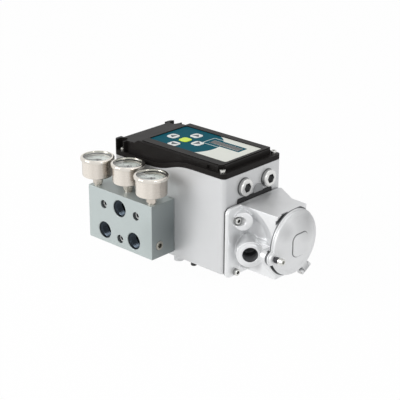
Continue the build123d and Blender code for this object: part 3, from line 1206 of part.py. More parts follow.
with BuildPart() as scoop:
    with BuildSketch(Plane.XZ.offset(-BOX_FRONT + 1.0)):
        with Locations((SCOOP_X, SCOOP_Z)):
            Circle(SCOOP_RADIUS + (SCOOP_RADIUS - SCOOP_FLOOR_RADIUS) / SCOOP_DEPTH)
    with BuildSketch(Plane.XZ.offset(-SCOOP_FLOOR_Y)):
        with Locations((SCOOP_X, SCOOP_Z)):
            Circle(SCOOP_FLOOR_RADIUS)
    loft()
    with BuildSketch(Plane.XZ.offset(-BOX_FRONT + 2.0)):
        with Locations((SCOOP_X, SCOOP_BOTTOM - SCOOP_RADIUS)):
            Rectangle(4 * SCOOP_RADIUS, 2 * SCOOP_RADIUS)
    extrude(amount=-SCOOP_DEPTH - 3.0, mode=Mode.SUBTRACT)
    with BuildSketch(Plane.YZ.offset(FLANGE_FACE)):
        with Locations((0, FLANGE_Z)):
            Rectangle(2 * FLANGE_WIDTH, 2 * FLANGE_HEIGHT)
    extrude(amount=-SCOOP_RADIUS, mode=Mode.SUBTRACT)

with BuildPart() as box_body:
    with BuildSketch(Plane.XY.offset(BOX_BOTTOM)):
        with BuildLine():
            Polyline(
                (FLANGE_X + 1.0, BOX_FRONT),
                (BOX_END, BOX_FRONT),
                (BOX_END, BOX_BACK),
                (FLANGE_FACE + FLARE_LENGTH, BOX_BACK + 1.0),
                (FLANGE_FACE, FLARE_BACK),
                (FLANGE_X + 1.0, FLARE_BACK),
                close=True,
            )
        make_face()
    extrude(amount=BOX_TOP - BOX_BOTTOM)
    corners = [e for e in box_body.edges().filter_by(Axis.Z) if e.center().X > FLANGE_FACE + 1.0]
    fillet(corners, BOX_EDGE)
    add(scoop.part, mode=Mode.SUBTRACT)

with BuildPart() as terminal_box:
    with BuildSketch(Plane.YZ.offset(FLANGE_X)):
        with Locations((0, FLANGE_Z)):
            RectangleRounded(FLANGE_WIDTH, FLANGE_HEIGHT, FLANGE_CORNER)
    extrude(amount=FLANGE_THICKNESS)
    chamfer(terminal_box.edges().group_by(Axis.X)[-1], FLANGE_BEVEL)
    add(box_body.part)
    with BuildSketch(Plane.YZ.offset(BOX_END)):
        with BuildLine():
            Line((BOX_FRONT + 1.0, CLAMP_Z + BOX_LUG_RADIUS), (CLAMP_Y, CLAMP_Z + BOX_LUG_RADIUS))
            ThreePointArc(
                (CLAMP_Y, CLAMP_Z + BOX_LUG_RADIUS),
                (CLAMP_Y - BOX_LUG_RADIUS, CLAMP_Z),
                (CLAMP_Y - BOX_LUG_RADIUS / 2, CLAMP_Z - BOX_LUG_RADIUS * sqrt(3) / 2),
            )
            Polyline(
                (CLAMP_Y - BOX_LUG_RADIUS / 2, CLAMP_Z - BOX_LUG_RADIUS * sqrt(3) / 2),
                (BOX_FRONT + 1.0, BOX_BOTTOM + BOX_LUG_RADIUS / 2),
                (BOX_FRONT + 1.0, CLAMP_Z + BOX_LUG_RADIUS),
            )
        make_face()
    extrude(amount=-BOX_LUG_LENGTH)
    with BuildSketch(conduit_plane):
        Circle(CONDUIT_BOSS_RADIUS)
    extrude(amount=-CONDUIT_DEPTH)
    with BuildSketch(blank_plane):
        Circle(BLANK_RADIUS)
    extrude(amount=-BLANK_RADIUS * 1.6)
    with BuildSketch(Plane.YZ.offset(FLANGE_X)):
        with Locations((0, FLANGE_Z)):
            Rectangle(2 * FLANGE_WIDTH, 2 * FLANGE_HEIGHT)
    extrude(amount=-CONDUIT_BOSS_RADIUS, mode=Mode.SUBTRACT)
    with BuildSketch(conduit_plane):
        Circle(CONDUIT_BOSS_RADIUS + 1.0)
        Circle(CONDUIT_LIP_RADIUS, mode=Mode.SUBTRACT)
    extrude(amount=-CONDUIT_LIP_STEP, mode=Mode.SUBTRACT)
    with BuildSketch(conduit_plane):
        Circle(CONDUIT_RADIUS)
    extrude(amount=-CONDUIT_DEPTH, mode=Mode.SUBTRACT)
    with BuildSketch(Plane.YZ.offset(FLANGE_FACE)):
        with Locations(*FLANGE_SCREWS):
            Circle(FLANGE_SCREW_POCKET)
    extrude(amount=2 * BLANK_RADIUS, mode=Mode.SUBTRACT)
    with BuildSketch(Plane.YZ.offset(FLANGE_FACE)):
        with Locations(*FLANGE_SCREWS):
            Circle(FLANGE_SCREW_RADIUS + COUNTERBORE_CLEARANCE)
        with Locations(WIRE_PASS):
            Circle(WIRE_PASS_RADIUS)
    extrude(amount=-FLANGE_THICKNESS, mode=Mode.SUBTRACT)
    with BuildSketch(Plane.YZ.offset(FLANGE_FACE)):
        with Locations(WIRE_PASS):
            Circle(WIRE_PASS_RADIUS)
    extrude(amount=CHAMBER_X - FLANGE_FACE, mode=Mode.SUBTRACT)
    chamber_front = SCOOP_FLOOR_Y + CHAMBER_WALL
    chamber_back = BOX_BACK - CHAMBER_WALL
    chamber_low = BOX_BOTTOM + 2 * CHAMBER_WALL
    chamber_high = BOX_TOP - CHAMBER_WALL
    with BuildSketch(Plane.YZ.offset(CHAMBER_X)):
        with Locations(((chamber_front + chamber_back) / 2, (chamber_low + chamber_high) / 2)):
            RectangleRounded(chamber_back - chamber_front, chamber_high - chamber_low, 2 * CHAMBER_WALL)
    extrude(amount=CHAMBER_END - CHAMBER_X, mode=Mode.SUBTRACT)
    with BuildSketch(Plane.YZ.offset(CHAMBER_END)):
        with Locations((0, DISC_Z)):
            Circle(CHAMBER_RADIUS)
    extrude(amount=CHAMBER_NECK, mode=Mode.SUBTRACT)
    with BuildSketch(Plane.YZ.offset(BOX_END)):
        with Locations((0, DISC_Z)):
            Circle(SEAT_RADIUS)
            Circle(CHAMBER_RADIUS, mode=Mode.SUBTRACT)
    extrude(amount=SEAT_HEIGHT)
    with BuildSketch(Plane.YZ.offset(BOX_END)):
        with Locations((CLAMP_Y, CLAMP_Z)):
            Circle(CLAMP_RADIUS + CLAMP_HOLE_CLEARANCE)
    extrude(amount=-BOX_LUG_LENGTH, mode=Mode.SUBTRACT)
    for side in (-1, 1):
        with BuildSketch(hinge_plane.offset(side * (EAR_REACH + HINGE_EAR / 2) - HINGE_EAR / 2)):
            Circle(HINGE_BARREL_RADIUS)
            with Locations((-(HINGE_X - BOX_END + 1.0) / 2, 0)):
                Rectangle(HINGE_X - BOX_END + 1.0, 2 * HINGE_BARREL_RADIUS)
            Circle(HINGE_PIN_RADIUS, mode=Mode.SUBTRACT)
        extrude(amount=HINGE_EAR)
save(terminal_box, "terminal_box")

flange_screws = hex_socket_screw(
    Plane.YZ.offset(FLANGE_FACE),
    FLANGE_SCREWS,
    FLANGE_SCREW_RADIUS,
    FLANGE_THICKNESS + TERMINAL_GASKET + FLANGE_SCREW_BITE - 1.0,
    FLANGE_SCREW_HEAD_RADIUS,
    FLANGE_SCREW_HEAD,
    FLANGE_SCREW_RADIUS * 1.6,
)
save(flange_screws, "flange_screws")

# Round cover with a stepped rim, a low dome, a bare pad, the clamp lug and the hinge knuckle
with BuildPart() as crown:
    with BuildSketch(Plane.XZ):
        with BuildLine():
            Line((DISC_FACE - 1.0, DISC_Z), (DOME_TOP, DISC_Z))
            RadiusArc((DOME_TOP, DISC_Z), (DISC_FACE, DISC_Z + DOME_RADIUS), -SPHERE_RADIUS)
            Polyline(
                (DISC_FACE, DISC_Z + DOME_RADIUS),
                (DISC_FACE - 1.0, DISC_Z + DOME_RADIUS),
                (DISC_FACE - 1.0, DISC_Z),
            )
        make_face()
    revolve(axis=Axis((0, 0, DISC_Z), (1, 0, 0)))

with BuildPart() as pad:
    with BuildSketch(Plane.YZ.offset(DISC_FACE)):
        with Locations((0, DISC_Z)):
            RectangleRounded(EMBLEM_SIZE, EMBLEM_SIZE, EMBLEM_CORNER)
    extrude(amount=DOME_HEIGHT + EMBLEM_STEP)
    add(crown.part.moved(Location((EMBLEM_STEP, 0, 0))), mode=Mode.INTERSECT)

with BuildPart() as terminal_cover:
    with BuildSketch(Plane.YZ.offset(DISC_X)):
        with Locations((0, DISC_Z)):
            Circle(DISC_RADIUS)
        with Locations((CLAMP_Y, CLAMP_Z)):
            Circle(CLAMP_LUG_RADIUS)
    extrude(amount=DISC_RIM)
    with BuildSketch(Plane.YZ.offset(DISC_X + DISC_RIM)):
        with Locations((0, DISC_Z)):
            Circle(DISC_RADIUS - DISC_STEP)
        with Locations((CLAMP_Y, CLAMP_Z)):
            Circle(CLAMP_LUG_RADIUS - DISC_STEP)
    extrude(amount=DISC_PLATE - DISC_RIM)
    fillet(terminal_cover.edges().group_by(Axis.X)[-1], DISC_STEP)
    add(crown.part)
    add(pad.part)
    with BuildSketch(hinge_plane.offset(-HINGE_KNUCKLE / 2)):
        Circle(HINGE_BARREL_RADIUS)
        with Locations((DISC_X + DISC_PLATE / 2 - HINGE_X, -(HINGE_RADIUS - DISC_RADIUS + 2.0) / 2)):
            Rectangle(DISC_PLATE, HINGE_RADIUS - DISC_RADIUS + 2.0)
        Circle(HINGE_PIN_RADIUS + RUNNING_CLEARANCE, mode=Mode.SUBTRACT)
    extrude(amount=HINGE_KNUCKLE)
    with BuildSketch(Plane.YZ.offset(DISC_X)):
        with Locations((0, DISC_Z)):
            Circle(CHAMBER_RADIUS - 1.0)
    extrude(amount=DISC_PLATE - DISC_WALL, mode=Mode.SUBTRACT)
    with BuildSketch(Plane.YZ.offset(DISC_X)):
        with Locations((0, DISC_Z)):
            Circle(COVER_SEAL_RADIUS + COVER_SEAL_WIRE)
            Circle(COVER_SEAL_RADIUS - COVER_SEAL_WIRE, mode=Mode.SUBTRACT)
    extrude(amount=COVER_SEAL_WIRE, mode=Mode.SUBTRACT)
    with BuildSketch(Plane.YZ.offset(DISC_X)):
        with Locations((CLAMP_Y, CLAMP_Z)):
            Circle(CLAMP_RADIUS + SLIDE_CLEARANCE)
    extrude(amount=DISC_PLATE + DOME_HEIGHT, mode=Mode.SUBTRACT)
save(terminal_cover, "terminal_cover")

with BuildPart() as terminal_cover_seal:
    with BuildSketch(Plane.YZ.offset(BOX_END + SEAT_HEIGHT)):
        with Locations((0, DISC_Z)):
            Circle(COVER_SEAL_RADIUS + COVER_SEAL_WIRE)
            Circle(COVER_SEAL_RADIUS - COVER_SEAL_WIRE, mode=Mode.SUBTRACT)
    extrude(amount=DISC_X + COVER_SEAL_WIRE - BOX_END - SEAT_HEIGHT)
save(terminal_cover_seal, "terminal_cover_seal")

# Captive clamp screw, its head held off the round cover by a spring
clamp_screw = hex_socket_screw(
    Plane.YZ.offset(CLAMP_HEAD_X),
    [(CLAMP_Y, CLAMP_Z)],
    CLAMP_RADIUS,
    CLAMP_HEAD_X - CLAMP_TIP,
    CLAMP_HEAD_RADIUS,
    CLAMP_HEAD,
    CLAMP_RADIUS * 1.6,
)
save(clamp_screw, "clamp_screw")

with BuildPart() as clamp_spring:
    spring_radius = CLAMP_RADIUS + CLAMP_SPRING_WIRE + 2 * SLIDE_CLEARANCE
    spring_length = CLAMP_STANDOFF - 2 * CLAMP_SPRING_WIRE - 2 * SLIDE_CLEARANCE
    spring_start = (DISC_FACE + CLAMP_SPRING_WIRE + SLIDE_CLEARANCE, CLAMP_Y, CLAMP_Z)
    spring_pitch = spring_length / CLAMP_SPRING_TURNS
    with BuildLine():
        coil = Helix(spring_pitch, spring_length, spring_radius, center=spring_start, direction=(1, 0, 0))
    with BuildSketch(Plane(coil @ 0, z_dir=coil % 0)):
        Circle(CLAMP_SPRING_WIRE)
    sweep()
save(clamp_spring, "clamp_spring")

with BuildPart() as hinge_pin:
    with BuildSketch(hinge_plane.offset(-EAR_REACH - HINGE_EAR)):
        Circle(HINGE_PIN_RADIUS)
    extrude(amount=2 * (EAR_REACH + HINGE_EAR))
save(hinge_pin, "hinge_pin")

# Terminal strip on the chamber's floor, with a row of wire openings and clamping screws
strip_pitch = STRIP_HEIGHT / STRIP_SCREWS
strip_rows = [STRIP_Z + (row - (STRIP_SCREWS - 1) / 2) * strip_pitch for row in range(STRIP_SCREWS)]
strip_screw_places = [(STRIP_Y + STRIP_WIDTH / 4, row_z) for row_z in strip_rows]
strip_top = CHAMBER_X + STRIP_DEPTH
with BuildPart() as terminal_strip:
    with BuildSketch(Plane.YZ.offset(CHAMBER_X)):
        with Locations((STRIP_Y, STRIP_Z)):
            Rectangle(STRIP_WIDTH, STRIP_HEIGHT)
    extrude(amount=STRIP_DEPTH)
    chamfer(terminal_strip.edges().group_by(Axis.X)[-1], 1.0)
    with BuildSketch(Plane.YZ.offset(strip_top)):
        with Locations(*strip_screw_places):
            Circle(STRIP_SCREW_RADIUS + THREAD_CLEARANCE)
        with Locations(*[(STRIP_Y - STRIP_WIDTH / 4, row_z) for row_z in strip_rows]):
            Rectangle(STRIP_WIDTH / 4, strip_pitch * 0.6)
    extrude(amount=-STRIP_DEPTH / 2, mode=Mode.SUBTRACT)
save(terminal_strip, "terminal_strip")

with BuildPart() as terminal_screws:
    with BuildSketch(Plane.YZ.offset(strip_top - STRIP_DEPTH / 2)):
        with Locations(*strip_screw_places):
            Circle(STRIP_SCREW_RADIUS)
    extrude(amount=STRIP_DEPTH / 2 - 1.0)
    with BuildSketch(Plane.YZ.offset(strip_top - 1.0)):
        with Locations(*strip_screw_places):
            Rectangle(2 * STRIP_SCREW_RADIUS, 0.8)
    extrude(amount=-1.2, mode=Mode.SUBTRACT)
save(terminal_screws, "terminal_screws")
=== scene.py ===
"""Looks of a digital valve positioner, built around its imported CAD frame.

Lengths in the sub-assemblies are in millimetres in the part's own frame: X towards the terminal box,
Y away from the manifold block, Z up through the keypad. Blender's meshes are in metres.
"""

from __future__ import annotations

import logging
import math
from dataclasses import dataclass, field
from enum import Enum

import bmesh
import bpy
from mathutils import Matrix, Vector


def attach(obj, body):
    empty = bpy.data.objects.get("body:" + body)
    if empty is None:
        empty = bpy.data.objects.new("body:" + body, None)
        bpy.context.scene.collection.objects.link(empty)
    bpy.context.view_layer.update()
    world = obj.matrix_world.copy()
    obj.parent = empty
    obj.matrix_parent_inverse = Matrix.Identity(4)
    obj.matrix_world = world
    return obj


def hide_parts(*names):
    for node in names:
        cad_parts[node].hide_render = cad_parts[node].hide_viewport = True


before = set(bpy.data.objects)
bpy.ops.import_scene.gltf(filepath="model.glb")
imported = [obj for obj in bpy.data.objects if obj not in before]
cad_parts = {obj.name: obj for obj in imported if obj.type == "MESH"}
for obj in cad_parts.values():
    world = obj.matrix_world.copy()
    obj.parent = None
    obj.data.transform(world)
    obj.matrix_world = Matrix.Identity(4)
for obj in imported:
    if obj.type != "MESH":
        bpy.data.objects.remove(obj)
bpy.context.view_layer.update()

log = logging.getLogger("positioner")

MM = 0.001
Colour = tuple[float, float, float]
Point = tuple[float, float, float]

# Places on the part

BLOCK_FRONT = -91.1
BLOCK_END = 29.2
AIR_PORTS = {"upper": (-26.8, 68.0), "lower_left": (-53.8, 32.2), "lower_right": (-2.7, 32.2)}
CAP_SCREWS = ((-54.55, 66.4), (2.05, 66.4), (-26.25, 28.2))
CAP_SCREW_FACE = -87.1
GAUGES = ((-72.8, -82.8), (-28.4, -73.5), (21.0, -82.8))
HOUSING_END = 108.0
END_PLUGS = ((-16.6, 112.2), (25.8, 112.2))
END_PLUG_FACE = 114.2
FLANGE_SCREWS = ((-36.8, 11.2), (-36.8, 77.4), (36.8, 11.2), (36.8, 77.4))
FLANGE_SCREW_FACE = 118.8
BOX_TOP = 93.6
CONDUIT_FACE = (138.0, -38.0, 40.5)
CONDUIT_INWARD = (-math.sqrt(0.5), math.sqrt(0.5), 0.0)
LID_AXIS_Z = 55.5
GAUGE_SWEEP = 270.0
SOCKET_START = 0.3

EASTWARD = (1.0, 0.0, 0.0)
WESTWARD = (-1.0, 0.0, 0.0)
BACKWARD = (0.0, 1.0, 0.0)
UPWARD = (0.0, 0.0, 1.0)
WHITE = (1.0, 1.0, 1.0)
FULL_TURN = 2 * math.pi


def from_screen(red: int, green: int, blue: int) -> Colour:
    """Turn a screen colour of 0 to 255 into the linear colour that shaders take.

    Args:
        red: Red, 0 to 255.
        green: Green, 0 to 255.
        blue: Blue, 0 to 255.

    Returns:
        The linear colour.
    """
    return tuple(
        c / 12.92 if c <= 0.04045 else ((c + 0.055) / 1.055) ** 2.4
        for c in (red / 255, green / 255, blue / 255)
    )


# Shader graph


class Value:
    """A shader socket that takes part in Python sums; each operator adds one Math node."""

    def __init__(self, graph: Graph, socket: bpy.types.NodeSocket) -> None:
        """Keep the graph and the socket.

        Args:
            graph: The graph that the socket is in.
            socket: The output socket.
        """
        self.graph = graph
        self.socket = socket

    def _math(self, operation: str, left: Number, right: Number = 0.0, clamp: bool = False) -> Value:
        """Add a Math node on two numbers or values."""
        return self.graph.node(
            "ShaderNodeMath", {"operation": operation, "use_clamp": clamp}, {0: left, 1: right}
        )

    def __add__(self, other: Number) -> Value:
        """Add."""
        return self._math("ADD", self, other)

    __radd__ = __add__

    def __sub__(self, other: Number) -> Value:
        """Take the other away."""
        return self._math("SUBTRACT", self, other)

    def __rsub__(self, other: Number) -> Value:
        """Take this away from a number."""
        return self._math("SUBTRACT", other, self)

    def __mul__(self, other: Number) -> Value:
        """Multiply."""
        return self._math("MULTIPLY", self, other)

    __rmul__ = __mul__

    def __truediv__(self, other: Number) -> Value:
        """Divide."""
        return self._math("DIVIDE", self, other)

    def __pow__(self, other: Number) -> Value:
        """Raise to a power."""
        return self._math("POWER", self, other)

    def __abs__(self) -> Value:
        """Drop the sign."""
        return self._math("ABSOLUTE", self)

    def root(self) -> Value:
        """Square root."""
        return self._math("SQRT", self)

    def fraction(self) -> Value:
        """The part after the decimal point."""
        return self._math("FRACT", self)

    def above(self, floor: Number) -> Value:
        """The larger of this and a floor."""
        return self._math("MAXIMUM", self, floor)

    def below(self, ceiling: Number) -> Value:
        """The smaller of this and a ceiling."""
        return self._math("MINIMUM", self, ceiling)

    def angle_to(self, other: Number) -> Value:
        """The arc tangent of this over the other, in radians."""
        return self._math("ARCTAN2", self, other)

    def edge(self, softness: float = 0.12) -> Value:
        """A mask that is 1 where this is positive and 0 where it is negative.

        Args:
            softness: Width of the change, in this value's own unit.

        Returns:
            The mask.
        """
        return self._math("ADD", self / softness, 0.5, clamp=True)


Number = Value | float


class Graph:
    """The nodes of one material or of the world."""

    def __init__(self, owner: bpy.types.Material | bpy.types.World) -> None:
        """Start with an empty tree.

        Args:
            owner: The material or world that holds the nodes.
        """
        self.owner = owner
        owner.use_nodes = True
        self.tree = owner.node_tree
        self.tree.nodes.clear()
        kind = "World" if isinstance(owner, bpy.types.World) else "Material"
        self.output = self.tree.nodes.new(f"ShaderNodeOutput{kind}")

    @classmethod
    def of_material(cls, name: str) -> Graph:
        """Start a new material."""
        return cls(bpy.data.materials.new(name))

    def node(
        self, kind: str, settings: dict | None = None, inputs: dict | None = None, output: int | str = 0
    ) -> Value:
        """Add a node.

        Args:
            kind: The node's type.
            settings: Its settings, set before its sockets; "stops" holds a ramp's positions and colours.
            inputs: Values or links of its sockets, by name or number.
            output: The output that is handed back.

        Returns:
            The chosen output.
        """
        made = self.tree.nodes.new(kind)
        for key, setting in (settings or {}).items():
            if key == "stops":
                ramp = made.color_ramp
                for index, (position, colour) in enumerate(setting):
                    stop = ramp.elements[index] if index < 2 else ramp.elements.new(position)
                    stop.position = position
                    stop.color = (*colour, 1.0)
            else:
                setattr(made, key, setting)
        for key, value in (inputs or {}).items():
            self.feed(made.inputs[key], value)
        return Value(self, made.outputs[output])

    def feed(self, socket: bpy.types.NodeSocket, value: Number | Colour) -> None:
        """Link or set a socket.

        Args:
            socket: The input socket.
            value: A value to link, or a number, colour or vector to set.
        """
        if isinstance(value, Value):
            self.tree.links.new(value.socket, socket)
        elif isinstance(value, tuple) and socket.type == "RGBA" and len(value) == 3:
            socket.default_value = (*value, 1.0)
        else:
            socket.default_value = value

    def place(self) -> Value:
        """The point on the part in millimetres, as a vector."""
        point = self.node("ShaderNodeTexCoord", output="Object")
        return self.node("ShaderNodeVectorMath", {"operation": "SCALE"}, {0: point, "Scale": 1 / MM})

    def axes(self, place: Value) -> tuple[Value, Value, Value]:
        """Split a vector into X, Y and Z."""
        split = self.node("ShaderNodeSeparateXYZ", inputs={0: place})
        return tuple(Value(self, socket) for socket in split.socket.node.outputs)

    def offset(self, place: Value, origin: Point) -> Value:
        """The vector from a point to this place."""
        return self.node("ShaderNodeVectorMath", {"operation": "SUBTRACT"}, {0: place, 1: origin})

    def length(self, vector: Value) -> Value:
        """A vector's length."""
        return self.node("ShaderNodeVectorMath", {"operation": "LENGTH"}, {0: vector}, "Value")

    def stretched(self, place: Value, factors: Point) -> Value:
        """The vector with each axis multiplied by its own factor."""
        return self.node("ShaderNodeVectorMath", {"operation": "MULTIPLY"}, {0: place, 1: factors})

    def noise(self, place: Value, scale: float, detail: float = 2.0) -> Value:
        """Noise of about 0 to 1; scale is in grains per millimetre."""
        return self.node("ShaderNodeTexNoise", inputs={"Vector": place, "Scale": scale, "Detail": detail})

    def distance(self, x: Value, y: Value) -> Value:
        """Distance from the origin of a plane."""
        return (x * x + y * y).root()

    def mix(self, factor: Number, low: Value | Colour, high: Value | Colour) -> Value:
        """Blend two colours."""
        return self.node("ShaderNodeMix", {"data_type": "RGBA"}, {0: factor, 6: low, 7: high}, 2)

    def bump(self, height: Value, depth_mm: float, edge_mm: float = 0.0) -> Value:
        """A normal from a height of 0 to 1.

        Args:
            height: The height.
            depth_mm: How far 1 stands above 0.
            edge_mm: Radius of the softened edges, none where 0.

        Returns:
            The normal.
        """
        inputs = {"Height": height, "Distance": depth_mm * MM, "Strength": 1.0}
        if edge_mm > 0:
            inputs["Normal"] = self.node("ShaderNodeBevel", {"samples": 4}, {"Radius": edge_mm * MM})
        return self.node("ShaderNodeBump", inputs=inputs)

    def surface(self, **sockets: Number | Colour) -> Value:
        """The principled shader; words in socket names are joined by underscores."""
        titled = {name.replace("_", " ").title().replace("Ior", "IOR"): v for name, v in sockets.items()}
        return self.node("ShaderNodeBsdfPrincipled", inputs=titled, output="BSDF")

    def finish(self, shader: Value) -> bpy.types.Material | bpy.types.World:
        """Link the shader to the output and hand back what holds the nodes."""
        self.tree.links.new(shader.socket, self.output.inputs["Surface"])
        return self.owner


# Finishes


class Grain(Enum):
    """How a surface was made, as the stretch of its fine grain along X, Y and Z."""

    CAST = (1.0, 1.0, 1.0)
    TURNED_Z = (0.12, 0.12, 3.0)
    TURNED_X = (3.0, 0.12, 0.12)
    MILLED = (0.25, 0.25, 2.2)
    DRAWN_X = (0.15, 2.0, 2.0)


def rounded_box(
    x: Value, y: Value, centre: tuple[float, float], half: tuple[float, float], corner: float
) -> Value:
    """Signed distance inside a rounded rectangle, positive inside.

    Args:
        x: The point's X in millimetres.
        y: The point's Y in millimetres.
        centre: The rectangle's centre.
        half: Half its length and width.
        corner: Its corner radius.

    Returns:
        The distance to its edge.
    """
    across = abs(x - centre[0]) - (half[0] - corner)
    along = abs(y - centre[1]) - (half[1] - corner)
    outside = (across.above(0.0) ** 2.0 + along.above(0.0) ** 2.0).root()
    inside = across.above(along).below(0.0)
    return corner - (outside + inside)


@dataclass(frozen=True)
class BoreShade:
    """Painted shade: darkens the wall of a bore, or a ring round its axis, where shade falls."""

    mouth: Point
    inward: Point
    radius: float
    start: float
    depth: float
    strength: float = 1.0
    inner: float = 0.0
    end_softness: float = 0.8

    def mask(self, g: Graph, place: Value) -> Value:
        """Where the painted shade lies: inside the bore, from its start to its depth.

        Args:
            g: The shader graph.
            place: The point on the part in millimetres.

        Returns:
            The mask, up to the shade's strength.
        """
        offset = g.offset(place, self.mouth)
        axis = {0: offset, 1: self.inward}
        along = g.node("ShaderNodeVectorMath", {"operation": "DOT_PRODUCT"}, axis, "Value")
        reach = g.length(offset)
        aside = (reach * reach - along * along).above(0.0).root()
        deep = (along - self.start).edge(self.end_softness) * (self.depth - along).edge(self.end_softness)
        around = (self.radius - aside).edge()
        if self.inner > 0:
            around = around * (aside - self.inner).edge()
        return around * deep * self.strength


@dataclass(frozen=True)
class SlabShade:
    """Painted shade: darkens everything past a place on X."""

    x: float
    strength: float = 1.0
    softness: float = 0.2

    def mask(self, g: Graph, place: Value) -> Value:
        """Where the painted shade lies."""
        return (g.axes(place)[0] - self.x).edge(self.softness) * self.strength


@dataclass(frozen=True)
class ChamberShade:
    """Painted shade: darkens the walls of a box-shaped chamber, where shade falls."""

    centre: Point
    half: Point
    strength: float = 1.0
    corner: float = 6.0

    def mask(self, g: Graph, place: Value) -> Value:
        """Where the painted shade lies.

        Args:
            g: The shader graph.
            place: The point on the part in millimetres.

        Returns:
            The mask, up to the shade's strength.
        """
        x, y, z = g.axes(place)
        inside = rounded_box(y, z, self.centre[1:], self.half[1:], self.corner)
        return inside.edge() * (self.half[0] - abs(x - self.centre[0])).edge() * self.strength


@dataclass(frozen=True)
class PadOutline:
    """A painted shade line round a raised pad that faces along X, where shade falls at its edge."""

    centre: tuple[float, float]
    half: float
    corner: float
    width: float
    start: float
    strength: float = 1.0
    softness: float = 0.3

    def mask(self, g: Graph, place: Value) -> Value:
        """Where the painted shade line lies.

        Args:
            g: The shader graph.
            place: The point on the part in millimetres.

        Returns:
            The mask, up to the shade's strength.
        """
        x, y, z = g.axes(place)
        inside = rounded_box(y, z, self.centre, (self.half, self.half), self.corner)
        line = (self.width - abs(inside)).edge(self.softness)
        return line * (x - self.start).edge(self.softness) * self.strength


@dataclass(frozen=True)
class SoftSpot:
    """A soft spot of painted shade that fades towards its rim."""

    centre: Point
    radius: float
    strength: float

    def mask(self, g: Graph, place: Value) -> Value:
        """Where the painted shade spot lies."""
        return (1.0 - g.length(g.offset(place, self.centre)) / self.radius).above(0.0) * self.strength


@dataclass(frozen=True)
class RoundBands:
    """Painted reflection on a round case: dark bands down its sides and a painted highlight between them."""

    centre: tuple[float, float]
    strength: float
    # Direction that the painted highlight faces, as X and Y.
    bright_side: tuple[float, float] = (0.156, -0.988)
    uneven_scale: float = 2.4
    uneven_share: float = 0.9

    def mask(self, g: Graph, place: Value) -> Value:
        """Where the painted reflection bands lie.

        Args:
            g: The shader graph.
            place: The point on the part in millimetres.

        Returns:
            The mask, up to the shade's strength.
        """
        x, y, _ = g.axes(place)
        dx = x - self.centre[0]
        dy = y - self.centre[1]
        radius = g.distance(dx, dy)
        across = (dx * self.bright_side[1] - dy * self.bright_side[0]) / radius
        ring = g.node("ShaderNodeCombineXYZ", inputs={0: dx / radius, 1: dy / radius})
        uneven = g.noise(ring, self.uneven_scale, 0.0) - 0.5
        return (across * across + uneven * self.uneven_share).above(0.0).below(1.0) * self.strength


# The painted shades that a metal's colour can carry.
Shade = BoreShade | SlabShade | ChamberShade | PadOutline | SoftSpot | RoundBands


Places = tuple[tuple[float, float], ...]


def sockets(
    face: float, places: Places, radius: float, depth: float, strength: float, start: float = SOCKET_START
) -> tuple[Shade, ...]:
    """Painted shade in sockets, or round rims, in faces that look along X.

    Args:
        face: X of the faces.
        places: Y and Z of each.
        radius: Their radius.
        depth: Their depth.
        strength: How dark the painted shade is, up to 1.
        start: How deep the painted shade begins.

    Returns:
        The shades.
    """
    return tuple(BoreShade((face, y, z), WESTWARD, radius, start, depth, strength) for y, z in places)


def front_bores(
    face: float, places: Places, radius: float, start: float, depth: float, strength: float
) -> tuple[Shade, ...]:
    """Painted shade in bores in faces that look along -Y.

    Args:
        face: Y of the faces.
        places: X and Z of each.
        radius: Their radius.
        start: How deep the dark begins.
        depth: Their depth.
        strength: How dark the painted shade is, up to 1.

    Returns:
        The shades.
    """
    return tuple(BoreShade((x, face, z), BACKWARD, radius, start, depth, strength) for x, z in places)


def face_ring(
    x: float, z: float, radius: float, depth: float, strength: float, inner: float = 0.0
) -> BoreShade:
    """A layer of painted shade across X, as a disc or a ring.

    Args:
        x: Where the layer begins.
        z: Height of its centre.
        radius: Its outer radius.
        depth: Its thickness along X.
        strength: How dark the painted shade is, up to 1.
        inner: Its inner radius, 0 for a disc.

    Returns:
        The shade.
    """
    return BoreShade((x, 0.0, z), EASTWARD, radius, 0.0, depth, strength, inner)


@dataclass(frozen=True)
class Metal:
    """A bare, cast, milled or turned metal, with painted shade from its shades."""

    name: str
    colour: Colour
    roughness: float
    grain: Grain = Grain.CAST
    metallic: float = 1.0
    grain_scale: float = 2.2
    depth_mm: float = 0.02
    spread: float = 0.1
    edge_mm: float = 0.0
    shades: tuple[Shade, ...] = ()
    # Colour of the painted shade.
    dark: Colour = from_screen(52, 55, 58)
    cloud_scale: float = 0.05
    cloud_share: float = 0.6
    lighter_share: float = 0.4

    def material(self) -> bpy.types.Material:
        """Build the material.

        Returns:
            The material.
        """
        g = Graph.of_material(self.name)
        place = g.place()
        cloud = g.noise(place, self.cloud_scale, 3.0)
        fine = g.noise(g.stretched(place, self.grain.value), self.grain_scale, 4.0)
        darker = tuple(c * (1.0 - self.spread) for c in self.colour)
        lighter = tuple(min(1.0, c * (1.0 + self.spread * self.lighter_share)) for c in self.colour)
        colour = g.mix(cloud * self.cloud_share + fine * (1.0 - self.cloud_share), darker, lighter)
        # Painted shade: each shade's mask mixes the painted shade colour into the colour.
        for shade in self.shades:
            colour = g.mix(shade.mask(g, place), colour, self.dark)
        return g.finish(
            g.surface(
                base_color=colour,
                metallic=self.metallic,
                roughness=(fine - 0.5) * self.spread + self.roughness,
                normal=g.bump(fine, self.depth_mm, self.edge_mm),
            )
        )


